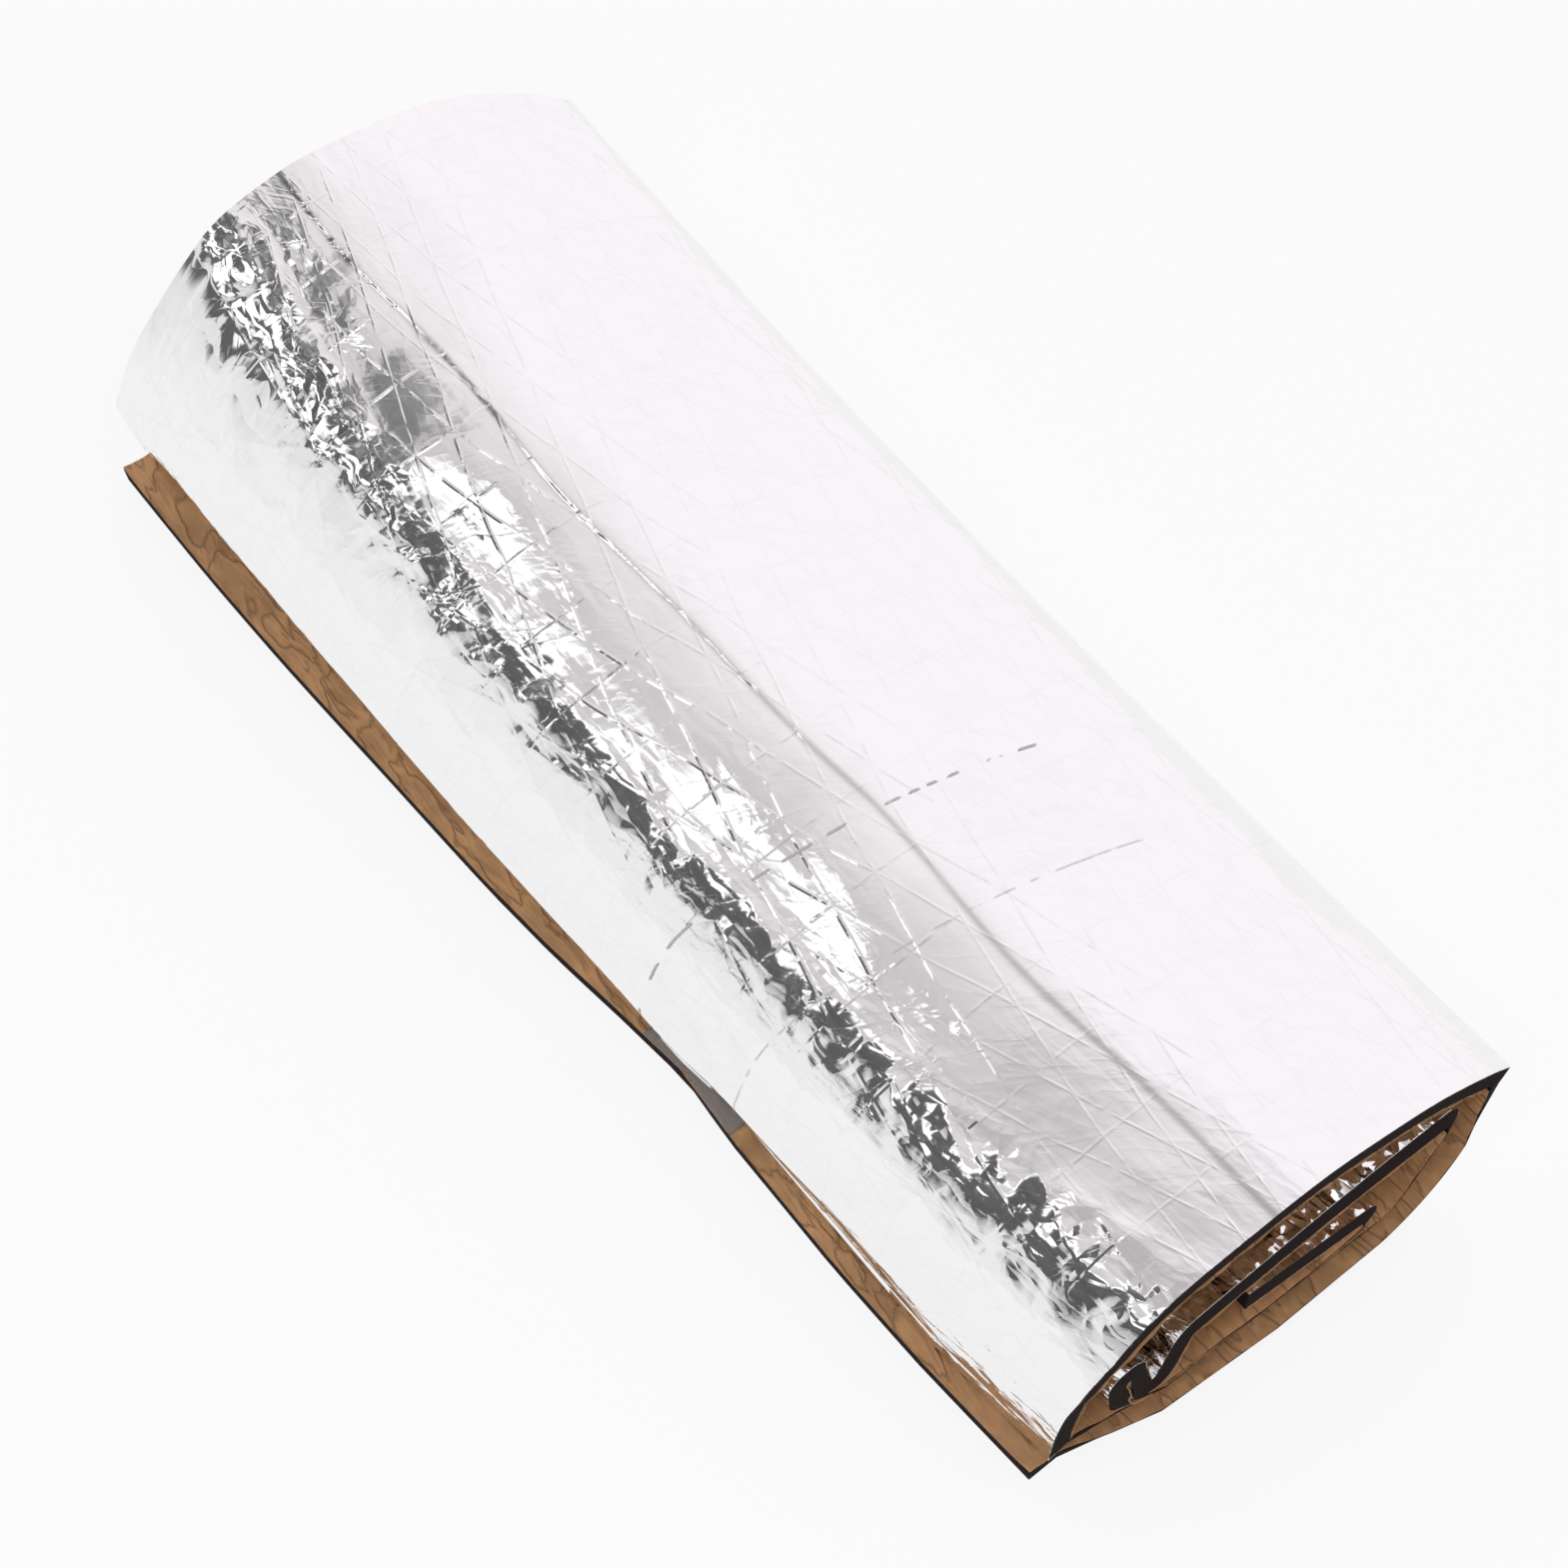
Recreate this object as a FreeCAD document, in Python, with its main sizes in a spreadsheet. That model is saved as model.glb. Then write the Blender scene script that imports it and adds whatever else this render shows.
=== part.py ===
"""Sound deadening mat: a 500 mm wide length of foil-faced foam, rolled up loosely and taped.

The mat is a laminate of three layers: an aluminium foil facing, a sheet of closed-cell foam
and a kraft release liner. It is wound from a tail that lies flat on the floor, foil side out,
into a flattened roll of three turns, and a strip of clear tape holds the outer turn to the tail.

Frame, in millimetres: the roll lies along X, the tail points to -Y, and Z is up from the floor.
From mid length to the near end, at +X, the section stays the same. Towards the far end it changes
evenly into a taller one with a sloping left side.
"""
import FreeCAD, Part
import math
import os
from collections import namedtuple

import Sketcher

V = FreeCAD.Vector

SIZES = [
    ("roll_length", 500, "width of the mat, which is the length of the roll"),
    ("foil_thickness", 0.2, "aluminium facing with its scrim"),
    ("foam_thickness", 6.6, "closed-cell foam"),
    ("liner_thickness", 0.2, "kraft release liner"),
    ("turn_gap", 0.4, "air between turns that lie on each other"),
    ("tail_out", 5, "length of tail that shows past the outer left fold"),
    ("fold_inside", 1, "inside radius of the tight folds at both sides of the roll"),
    ("floor_right", 32, "where the bottom turn lifts off the floor"),
    ("floor_turn_radius", 45, "outside of the bottom turn's rise"),
    ("tip_right", 88, "middle of the outer fold, right of the roll's middle"),
    ("tip_height", 48, "height of the outer right fold"),
    ("crown_bow", 200, "radius of the flat top"),
    ("shoulder_left", 55, "middle of the rounded left shoulder"),
    ("shoulder_height", 44, "height of the shoulder's middle"),
    ("shoulder_radius", 41, "outside of the shoulder"),
    ("flank_bow", 160, "radius of the left flank"),
    ("heel_out", 3, "how far the outer left fold, on the tail, stands out past the shoulder"),
    ("second_lift", 25, "where the second turn lifts off the first"),
    ("second_turn_radius", 36, "outside of the second turn's rise"),
    ("second_reach", 6, "how far the second right fold stands out past its turn"),
    ("second_height", 44, "height of the second right fold"),
    ("second_bow", 600, "radius of the second turn's top"),
    ("droop_left", 42, "where the second turn's top bends down"),
    ("droop_radius", 10, "outside of that bend"),
    ("notch_left", 57.5, "the sharp kink in the doubled flap"),
    ("notch_radius", 1.5, "inside of the kink"),
    ("flap_room", 8.8, "room between the flap's fold and the outer left fold"),
    ("flap_height", 46, "height of the flap's fold"),
    ("core_shift", 2, "innermost right fold, right of where the second turn lifts off"),
    ("core_rise", 12, "slope of the innermost layer, in degrees"),
    ("core_run", 52, "length of the innermost layer past its fold"),
    ("tape_width", 46, "clear packing tape"),
    ("tape_thickness", 0.1, "clear packing tape"),
    ("tape_foot", 78, "middle of the tape where it meets the tail, from mid length"),
    ("tape_lean", 20, "slant of the tape on the flank, in degrees"),
    ("tape_top_end", 50, "end of the tape on top, right of the roll's middle"),
    ("far_crown_start", 120, "at the far end: radius of the crown's right part"),
    ("far_slope_bow", 210, "at the far end: radius of the shoulder's middle part, which is nearly flat"),
    ("far_flank_bow", 80, "at the far end: radius of the left flank"),
    ("far_second_bow", 518, "at the far end: radius of the second turn's top"),
]

# Where the bends of the crown and the shoulder are divided, as shares of each. The parts of one
# bend differ only at the far end.
CROWN_PARTS = (0.25,)
SHOULDER_PARTS = (0.4, 0.6)

# Places in the list of bends, the first two before the bends are divided.
CROWN = 2
SHOULDER = 3
OUTER_BENDS = 9
SECOND_ARC = 11

# The outer turn's radii that are others at the far end, from the right fold on; the rest stay.
FAR_RADII = [None, "far_crown_start", None, None, "far_slope_bow", None, "far_flank_bow", None]

TOUCHING = 0.005  # two points nearer to each other than this are one point

LAYERS = [
    ("foil_facing", "foil_thickness"),
    ("foam_sheet", "foam_thickness"),
    ("release_liner", "liner_thickness"),
]

# The fields named "cells" hold a size once more, as a formula of the sheet's cells.
Bend = namedtuple("Bend", "y z radius turn cells")
Depth = namedtuple("Depth", "value cells")
Run = namedtuple("Run", "start end middle cells")

SURFACE = Depth(0, "0")
MAT_CELLS = " + ".join("Sizes." + alias for _, alias in LAYERS)
FOLD_CELLS = "Sizes.fold_inside + " + MAT_CELLS
LEFT_CELLS = "Sizes.shoulder_left + Sizes.shoulder_radius + Sizes.heel_out + Sizes.tail_out"
MIDDLE = "0 mm"
NEAR_END = "Sizes.roll_length / 2"
FAR_END = "-Sizes.roll_length / 2"


def make_sheet(doc):
    sheet = doc.addObject("Spreadsheet::Sheet", "Sizes")
    for row, (alias, value, note) in enumerate(SIZES, start=1):
        sheet.set("A%d" % row, alias)
        sheet.set("B%d" % row, str(value))
        sheet.setAlias("B%d" % row, alias)
        sheet.set("C%d" % row, note)
    doc.recompute()
    return sheet


def read_sizes(sheet):
    """The sheet's values, and the places that follow from them."""
    size = {alias: float(sheet.get(alias)) for alias, _, _ in SIZES}
    size["mat"] = sum(size[alias] for _, alias in LAYERS)
    size["turn"] = size["mat"] + size["turn_gap"]
    size["fold"] = size["mat"] + size["fold_inside"]
    size["flap_fold"] = (size["mat"] + size["turn"]) / 2
    heel_edge = size["shoulder_left"] + size["shoulder_radius"] + size["heel_out"]
    rise_edge = size["second_lift"] + size["second_turn_radius"]
    size["heel_left"] = heel_edge - size["fold"]
    size["tail_left"] = heel_edge + size["tail_out"]
    size["flap_left"] = heel_edge - size["mat"] - size["flap_fold"] - size["flap_room"]
    size["second_right"] = rise_edge + size["second_reach"] - size["fold"]
    size["core_right"] = size["second_lift"] + size["core_shift"]
    return size


def deeper(depth, alias, size):
    """The depth below the outer face after one more layer."""
    return Depth(depth.value + size[alias], depth.cells + " + Sizes." + alias)


def right_of(angle):
    """Unit vector to the right of a heading; the outside of the winding is on that side."""
    return (math.sin(angle), -math.cos(angle))


def straight_heading(first, second):
    """Heading of the straight run that leaves one bend and is tangent to the next."""
    across = second.y - first.y
    rise = second.z - first.z
    lean = (first.turn * first.radius - second.turn * second.radius) / math.hypot(across, rise)
    return math.atan2(rise, across) + math.asin(lean)


def bow_bend(first, second, size, alias):
    """The wide arc that holds two bends inside it and is tangent to both."""
    radius = size[alias]
    across = second.y - first.y
    rise = second.z - first.z
    span = math.hypot(across, rise)
    reach_first = radius - first.radius
    reach_second = radius - second.radius
    along = (reach_first ** 2 - reach_second ** 2 + span ** 2) / (2 * span)
    aside = math.sqrt(reach_first ** 2 - along ** 2)
    y = first.y + (across * along - rise * aside) / span
    z = first.z + (rise * along + across * aside) / span
    return Bend(y, z, radius, 1, "Sizes." + alias)


def outer_bends(size):
    """The outer turn: up from the floor, round the right fold, over the top, down to the heel."""
    fold = size["fold"]
    rise = size["floor_turn_radius"]
    floor_turn = Bend(size["floor_right"], rise, rise, 1, "Sizes.floor_turn_radius")
    tip = Bend(size["tip_right"], size["tip_height"], fold, 1, FOLD_CELLS)
    shoulder = Bend(-size["shoulder_left"], size["shoulder_height"], size["shoulder_radius"], 1,
                    "Sizes.shoulder_radius")
    heel = Bend(-size["heel_left"], size["turn"] + fold, fold, 1, FOLD_CELLS)
    crown_arc = bow_bend(tip, shoulder, size, "crown_bow")
    flank_arc = bow_bend(shoulder, heel, size, "flank_bow")
    return [[floor_turn], [tip, crown_arc, shoulder, flank_arc, heel]]


def second_bends(size):
    """The second turn: it rises beside the first, folds back and droops at its left end."""
    fold = size["fold"]
    rise = size["second_turn_radius"]
    bend_down = size["droop_radius"]
    second_turn = Bend(size["second_lift"], size["turn"] + rise, rise, 1,
                       "Sizes.second_turn_radius")
    second_tip = Bend(size["second_right"], size["second_height"], fold, 1, FOLD_CELLS)
    droop_height = second_tip.z + fold - bend_down
    droop = Bend(-size["droop_left"], droop_height, bend_down, 1, "Sizes.droop_radius")
    second_arc = bow_bend(second_tip, droop, size, "second_bow")
    return [[second_turn], [second_tip, second_arc, droop]]


def inner_bends(size):
    """The doubled flap with its kink, and the innermost turn."""
    two_turns = 2 * size["turn"]
    doubled = size["notch_radius"] + size["mat"] + size["turn"]
    doubled_cells = "Sizes.notch_radius + Sizes.turn_gap + 2 * (%s)" % MAT_CELLS
    notch = Bend(-size["notch_left"], two_turns + doubled, size["notch_radius"], -1,
                 "Sizes.notch_radius")
    flap = Bend(-size["flap_left"], size["flap_height"], size["flap_fold"], 1,
                MAT_CELLS + " + Sizes.turn_gap / 2")
    under_notch = Bend(notch.y, notch.z, doubled, 1, doubled_cells)
    core = Bend(size["core_right"], two_turns + size["fold"], size["fold"], 1, FOLD_CELLS)
    return [[notch], [flap], [under_notch], [core]]


def bends_of(size):
    """The winding's bends from the tail inwards, in runs of arcs that pass into each other.

    A straight stretch joins each run to the next one.
    """
    return outer_bends(size) + second_bends(size) + inner_bends(size)


def touch_heading(first, second):
    """Heading where two tangent arcs pass into each other."""
    wide, tight = (first, second) if first.radius > second.radius else (second, first)
    outward = math.atan2(tight.z - wide.z, tight.y - wide.y)
    return outward + math.pi / 2


def headings_of(groups, size):
    """Each bend with its headings in and out, in travelling order, as one growing angle."""
    bends = []
    leaving = []
    for group in groups:
        bends.extend(group)
    for group, following in zip(groups, groups[1:]):
        for bend, next_bend in zip(group, group[1:]):
            leaving.append(touch_heading(bend, next_bend))
        leaving.append(straight_heading(group[-1], following[0]))
    leaving.append(math.pi - math.radians(size["core_rise"]))
    heading = 0.0
    headed = []
    for bend, leave in zip(bends, leaving):
        swing = (leave - heading) * bend.turn % (2 * math.pi)
        headed.append((bend, heading, heading + swing * bend.turn))
        heading = headed[-1][2]
    return headed


def divided(headed, place, shares):
    """The bends with one of them divided into parts at shares of its swing."""
    bend, enter, leave = headed[place]
    cuts = [enter] + [enter + (leave - enter) * share for share in shares] + [leave]
    parts = [(bend, first, second) for first, second in zip(cuts, cuts[1:])]
    return headed[:place] + parts + headed[place + 1:]


def next_bend(here, enter, radius, cells):
    """The bend with a radius that leaves a point at a heading."""
    side_y, side_z = right_of(enter)
    return Bend(here.x - radius * side_y, here.y - radius * side_z, radius, 1, cells)


def end_of(bend, leave):
    side_y, side_z = right_of(leave)
    return V(bend.y + bend.radius * side_y, bend.z + bend.radius * side_z, 0)


def bends_from(here, headed, size):
    """The outer turn's bends in a row from a point, each with its radius at the far end."""
    turn = []
    for alias, (bend, enter, leave) in zip(FAR_RADII, headed):
        if alias:
            bend = bend._replace(radius=size[alias], cells="Sizes." + alias)
        bend = next_bend(here, enter, bend.radius, bend.cells)
        turn.append((bend, enter, leave))
        here = end_of(bend, leave)
    return turn, here


def far_outer_turn(headed, size):
    """The outer turn at the far end. Its bends keep their headings, some have other radii, and its
    straight rise is as long as the heel needs to lie on the tail."""
    rise, _, heading = headed[0]
    lift_off = end_of(rise, heading)
    _, heel_end = bends_from(lift_off, headed[1:], size)
    length = (size["turn"] - heel_end.y) / math.sin(heading)
    way = V(math.cos(heading), math.sin(heading), 0)
    turn, _ = bends_from(lift_off + way * length, headed[1:], size)
    return headed[:1] + turn


def far_section(headed, size):
    """The bends at the far end; the doubled flap moves right as the second turn's top gets shorter."""
    top, enter, leave = headed[SECOND_ARC]
    far_top = next_bend(end_of(top, enter), enter, size["far_second_bow"], "Sizes.far_second_bow")
    shift = end_of(far_top, leave).x - end_of(top, leave).x
    far = far_outer_turn(headed[:OUTER_BENDS], size) + headed[OUTER_BENDS:SECOND_ARC]
    far.append((far_top, enter, leave))
    for bend, enter, leave in headed[SECOND_ARC + 1:-1]:
        far.append((bend._replace(y=bend.y + shift), enter, leave))
    return far + headed[-1:]


def line(start, end):
    return Run(start, end, None, None)


def arc(bend, enter, leave, depth):
    """The stretch of a bend between two headings, on the surface at a depth."""
    points = []
    for heading in (enter, leave, (enter + leave) / 2):
        side_y, side_z = right_of(heading)
        reach = bend.turn * bend.radius - depth.value
        points.append(V(bend.y + reach * side_y, bend.z + reach * side_z, 0))
    cells = "(%s) %s (%s)" % (bend.cells, "-" if bend.turn > 0 else "+", depth.cells)
    return Run(points[0], points[1], points[2], cells)


def surface_runs(headings, size, depth):
    """Lines and arcs of one surface of the winding, from the tail to the inner end."""
    runs = []
    here = V(-size["tail_left"], depth.value, 0)
    for bend, enter, leave in headings:
        bent = arc(bend, enter, leave, depth)
        if here.distanceToPoint(bent.start) > TOUCHING:
            runs.append(line(here, bent.start))
        runs.append(bent)
        here = bent.end
    heading = headings[-1][2]
    stop = here + V(math.cos(heading), math.sin(heading), 0) * size["core_run"]
    runs.append(line(here, stop))
    return runs


def backwards(runs):
    return [Run(run.end, run.start, run.middle, run.cells) for run in reversed(runs)]


def closed(there, back):
    """One outline of two faces of a layer, joined by its two cut ends."""
    return there + [line(there[-1].end, back[0].start)] + back + [line(back[-1].end, there[0].start)]


def turns_left(run):
    chord = run.end - run.start
    return chord.cross(run.middle - run.start).z < 0


def add_run(sketch, run):
    """Adds a line or an arc; returns its index and the vertices where the outline enters and leaves.

    An arc's radius is bound to the sheet.
    """
    if run.middle is None:
        return sketch.addGeometry(Part.LineSegment(run.start, run.end), False), 1, 2
    ends = (run.start, run.end) if turns_left(run) else (run.end, run.start)
    index = sketch.addGeometry(Part.Arc(ends[0], run.middle, ends[1]), False)
    radius = sketch.Geometry[index].Radius
    rule = sketch.addConstraint(Sketcher.Constraint("Radius", index, radius))
    sketch.setExpression("Constraints[%d]" % rule, run.cells)
    return (index, 1, 2) if turns_left(run) else (index, 2, 1)


def origin_plane(body, role):
    return [feature for feature in body.Origin.OriginFeatures if feature.Role == role][0]


def make_outline(body, name, runs, station):
    """A closed sketch across the roll, at a station along it."""
    sketch = body.newObject("Sketcher::SketchObject", name)
    sketch.AttachmentSupport = [(origin_plane(body, "YZ_Plane"), "")]
    sketch.MapMode = "FlatFace"
    sketch.setExpression("AttachmentOffset.Base.z", station)
    added = [add_run(sketch, run) for run in runs]
    joins = []
    for (first, _, leave), (second, enter, _) in zip(added, added[1:] + added[:1]):
        joins.append(Sketcher.Constraint("Coincident", first, leave, second, enter))
    sketch.addConstraint(joins)
    return sketch


def wound_body(doc, name, runs):
    """A body with its outline carried along the whole roll, half to each side of the middle."""
    body = doc.addObject("PartDesign::Body", name)
    body.Label = name
    outline = make_outline(body, name + "_outline", runs, MIDDLE)
    doc.recompute()
    pad = body.newObject("PartDesign::Pad", name + "_pad")
    pad.Profile = outline
    pad.setExpression("Length", "Sizes.roll_length")
    pad.Midplane = True
    body.Tip = pad
    doc.recompute()
    return body


def changing_body(doc, name, middle_runs, far_runs):
    """A body that keeps its outline from the near end to the middle and changes it to the far end."""
    body = doc.addObject("PartDesign::Body", name)
    body.Label = name
    near_end = make_outline(body, name + "_near_end", middle_runs, NEAR_END)
    middle = make_outline(body, name + "_middle", middle_runs, MIDDLE)
    far_end = make_outline(body, name + "_far_end", far_runs, FAR_END)
    doc.recompute()
    loft = body.newObject("PartDesign::AdditiveLoft", name + "_loft")
    loft.Profile = near_end
    loft.Sections = [middle, far_end]
    loft.Ruled = True
    body.Tip = loft
    doc.recompute()
    return body


def layer_outline(headings, size, top, bottom):
    outer = surface_runs(headings, size, top)
    inner = surface_runs(headings, size, bottom)
    return closed(outer, backwards(inner))


def make_layers(doc, middle, far, size):
    """The foil, the foam and the liner, each between two depths below the outer face."""
    bodies = []
    top = SURFACE
    for name, alias in LAYERS:
        bottom = deeper(top, alias, size)
        middle_runs = layer_outline(middle, size, top, bottom)
        far_runs = layer_outline(far, size, top, bottom)
        bodies.append(changing_body(doc, name, middle_runs, far_runs))
        top = bottom
    return bodies


def tape_face(headings, size, height):
    """A face of the tape: over the crown, down the left flank, onto the tail's paper face."""
    over = headings[CROWN:OUTER_BENDS - 1]
    runs = [arc(bend, enter, leave, height) for bend, enter, leave in over]
    tail_top = size["mat"] - height.value
    foot = V(runs[-1].end.x, tail_top, 0)
    edge = V(-size["tail_left"], tail_top, 0)
    return runs + [line(runs[-1].end, foot), line(foot, edge)]


def make_tape(doc, headings, size):
    """The tape is the part of a full-length skin that lies inside a leaning band."""
    top_face = Depth(-size["tape_thickness"], "-Sizes.tape_thickness")
    under = tape_face(headings, size, SURFACE)
    over = tape_face(headings, size, top_face)
    skin = wound_body(doc, "tape_skin", closed(under, backwards(over)))
    band = doc.addObject("Part::Box", "tape_band")
    lean = FreeCAD.Rotation(V(0, 1, 0), size["tape_lean"])
    corner = V(size["tape_foot"] - size["tape_width"] / 2, -2 * size["tail_left"], 0)
    band.setExpression("Length", "Sizes.tape_width * cos(Sizes.tape_lean)")
    band.setExpression("Width", "2 * (%s) + Sizes.tape_top_end" % LEFT_CELLS)
    band.setExpression("Height", "2 * (Sizes.shoulder_height + Sizes.shoulder_radius)")
    band.Placement = FreeCAD.Placement(corner, lean)
    tape = doc.addObject("Part::Common", "tape_strip")
    tape.Base = skin
    tape.Tool = band
    tape.Label = "tape_strip"
    doc.recompute()
    return tape


def write_parts(doc, nodes):
    for item in doc.Objects:
        bad = [state for state in item.State if state in ("Invalid", "Error")]
        if bad:
            raise RuntimeError("%s is %s" % (item.Name, bad))
    for node in nodes:
        if node.Shape.isNull() or not node.Shape.isValid() or len(node.Shape.Solids) != 1:
            raise RuntimeError("%s has no sound solid" % node.Label)
    os.makedirs("parts", exist_ok=True)
    for node in nodes:
        node.Shape.exportStep("parts/%s.step" % node.Label)


def main():
    doc = FreeCAD.newDocument("SoundDeadeningMat")
    sheet = make_sheet(doc)
    size = read_sizes(sheet)
    middle = divided(headings_of(bends_of(size), size), SHOULDER, SHOULDER_PARTS)
    middle = divided(middle, CROWN, CROWN_PARTS)
    far = far_section(middle, size)
    nodes = make_layers(doc, middle, far, size) + [make_tape(doc, middle, size)]
    write_parts(doc, nodes)
    for node in nodes:
        box = node.Shape.BoundBox
        print(node.Label, round(node.Shape.Volume), box)


main()
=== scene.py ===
"""Dresses a rolled mat of foil-faced foam: mirror foil with a scrim, black foam, kraft liner, clear tape.

The mat's section is a chain of straight runs and bends that pass into each other. It is worked out
for the near end, the middle and the far end of the roll, and carried from one to the next.
"""

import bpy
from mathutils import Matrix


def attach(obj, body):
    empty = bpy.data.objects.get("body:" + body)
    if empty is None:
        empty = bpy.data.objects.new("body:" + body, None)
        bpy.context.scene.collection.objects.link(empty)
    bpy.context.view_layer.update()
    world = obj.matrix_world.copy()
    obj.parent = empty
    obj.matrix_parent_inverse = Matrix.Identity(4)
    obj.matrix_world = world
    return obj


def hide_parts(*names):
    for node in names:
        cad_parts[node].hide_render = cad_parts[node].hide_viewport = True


bl_info = {
    "name": "Rolled Foil Mat",
    "version": (1, 0, 0),
    "blender": (4, 5, 0),
    "location": "3D View > Sidebar > Roll",
    "description": "Builds a flattened roll of foil-faced foam mat with its liner and tape",
    "category": "Add Mesh",
}

import math

import bpy
import numpy as np
from bpy.props import FloatProperty, FloatVectorProperty, PointerProperty
from bpy.types import Operator, Panel, PropertyGroup
from mathutils import Matrix, Vector

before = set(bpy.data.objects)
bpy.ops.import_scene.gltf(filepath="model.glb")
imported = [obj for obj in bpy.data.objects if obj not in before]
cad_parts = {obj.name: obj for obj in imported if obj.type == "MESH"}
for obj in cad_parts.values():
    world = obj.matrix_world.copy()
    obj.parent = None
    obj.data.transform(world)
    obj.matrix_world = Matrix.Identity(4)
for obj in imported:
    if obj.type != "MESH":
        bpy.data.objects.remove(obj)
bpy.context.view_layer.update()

MM = 0.001


def length(label, text, value):
    """A length property; the value is given in millimetres and kept in metres."""
    return FloatProperty(name=label, description=text, default=value * MM, unit="LENGTH", precision=5)


def colour(label, text, value):
    return FloatVectorProperty(name=label, description=text, default=value, size=3, min=0.0, max=1.0,
                               subtype="COLOR")


# Sizes of a section: name, what it is, middle of the roll, near end, in millimetres.
SECTION = [
    ("tail_out", "length of tail that shows past the heel", 5, 8),
    ("floor_right", "where the bottom turn lifts off the floor", 32, 36),
    ("floor_turn_radius", "outside of the bottom turn's rise", 45, 46),
    ("tip_right", "middle of the outer right fold", 88, 79),
    ("tip_height", "height of the outer right fold", 48, 44),
    ("crown_bow", "radius of the flat top", 200, 196),
    ("shoulder_left", "middle of the rounded left shoulder", 55, 43.6),
    ("shoulder_height", "height of the shoulder's middle", 44, 35.4),
    ("shoulder_radius", "outside of the shoulder", 41, 46.7),
    ("flank_bow", "radius of the left flank", 160, 170),
    ("heel_out", "how far the heel stands out past the shoulder", 3, 1),
    ("second_lift", "where the second turn lifts off the first", 25, 25),
    ("second_turn_radius", "outside of the second turn's rise", 36, 36),
    ("second_reach", "how far the second fold stands out", 6, 6),
    ("second_height", "height of the second right fold", 44, 44),
    ("second_bow", "radius of the second turn's top", 600, 600),
    ("droop_left", "where the second turn's top bends down", 42, 42),
    ("droop_radius", "outside of that bend", 10, 10),
    ("notch_left", "the sharp kink in the doubled flap", 57.5, 57.5),
    ("notch_radius", "inside of the kink", 1.5, 1.5),
    ("flap_room", "room between the flap's fold and the heel", 8.8, 8.1),
    ("flap_height", "height of the flap's fold", 46, 46),
    ("core_shift", "innermost fold, right of the second turn's lift", 2, 2),
    ("core_run", "length of the innermost layer past its fold", 52, 52),
]

# The outer turn at the far end keeps the middle's headings and has these radii instead: the heading
# where each starts, in degrees, and the radius in millimetres.
FAR_BOWS = [(146, 199), (158, 177), (175, 143), (193, 45), (203, 63), (218, 176), (231, 64), (244, 56),
            (257, 72)]


def section_class(name, place, column):
    """A property group with the sizes of one section."""
    fields = {}
    for row in SECTION:
        label = row[0].replace("_", " ").title()
        fields[row[0]] = length(label, "%s, at the %s" % (row[1], place), row[column])
    return type(name, (PropertyGroup,), {"__annotations__": fields})


MiddleSection = section_class("MiddleSection", "middle of the roll", 2)
NearSection = section_class("NearSection", "near end", 3)


class RollSizes(PropertyGroup):
    """Sizes and colours of the rolled mat."""

    roll_length: length("Roll Length", "Width of the mat, along the roll", 500)
    foil: length("Foil", "Thickness of the foil facing", 0.2)
    foam: length("Foam", "Thickness of the foam", 6.6)
    liner: length("Liner", "Thickness of the kraft liner", 0.2)
    turn_gap: length("Turn Gap", "Air between turns that lie on each other", 0.4)
    fold_inside: length("Fold Inside", "Inside radius of the tight folds", 1)
    tape_width: length("Tape Width", "Width of the clear tape", 46)
    tape_foot: length("Tape Foot", "Middle of the tape on the tail, from mid length", 78)
    tape_top: length("Tape Top", "Middle of the tape on the top, from mid length", 107)
    tape_end: length("Tape End", "End of the tape, right of the roll's middle", 50)
    scrim_pitch: length("Scrim Pitch", "Distance between the threads of the scrim", 16.5)
    hoop_pitch: length("Hoop Pitch", "Distance between the threads that go round the roll", 27)
    far_tail_out: length("Far Tail", "Length of tail that shows past the heel at the far end", 4)
    far_second_bow: length("Far Second Bow", "Radius of the second turn's top at the far end", 518)
    core_rise: FloatProperty(name="Core Rise", description="Slope of the innermost layer",
                             default=math.radians(12), subtype="ANGLE")
    tip_mitre: FloatProperty(name="Tip Mitre", description="How sharp the right fold is at the near end",
                             default=0.85, min=0.0, max=1.0, subtype="FACTOR")
    foil_colour: colour("Foil Colour", "Metal of the facing", (0.93, 0.925, 0.93))
    foam_colour: colour("Foam Colour", "Closed-cell foam", (0.017, 0.012, 0.012))
    kraft_colour: colour("Kraft Colour", "Release liner", (0.58, 0.315, 0.145))
    tape_colour: colour("Tape Colour", "Clear tape over the paper", (0.38, 0.33, 0.3))
    middle: PointerProperty(type=MiddleSection)
    near: PointerProperty(type=NearSection)


def thickness(sizes):
    return sizes.foil + sizes.foam + sizes.liner


# ---- the section ----

# Rows of points in each bend, and in the straight run before it, in travelling order.
BEND_ROWS = {"floor_turn": 14, "tip": 14, "crown": 50, "shoulder": 60, "flank": 22, "heel": 12,
             "second_turn": 14, "second_tip": 12, "second_arc": 40, "droop": 8, "notch": 6, "flap": 10,
             "under": 10, "core": 12}
RUN_ROWS = {"floor_turn": 24, "tip": 8, "second_turn": 20, "second_tip": 4, "notch": 10, "flap": 12,
            "under": 12, "core": 16, "end": 16}
RUN_NUMBER = {name: number for number, name in enumerate(BEND_ROWS, start=1)}


def bow(first, second, radius):
    """Centre of the wide arc that touches two bends inside it, where circles round them meet."""
    across, rise = second[0] - first[0], second[1] - first[1]
    span = math.hypot(across, rise)
    first_reach, second_reach = radius - first[2], radius - second[2]
    along = (first_reach ** 2 - second_reach ** 2 + span ** 2) / (2 * span)
    aside = math.sqrt(first_reach ** 2 - along ** 2)
    y = first[0] + (across * along - rise * aside) / span
    z = first[1] + (rise * along + across * aside) / span
    return (y, z, radius, 1)


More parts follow.
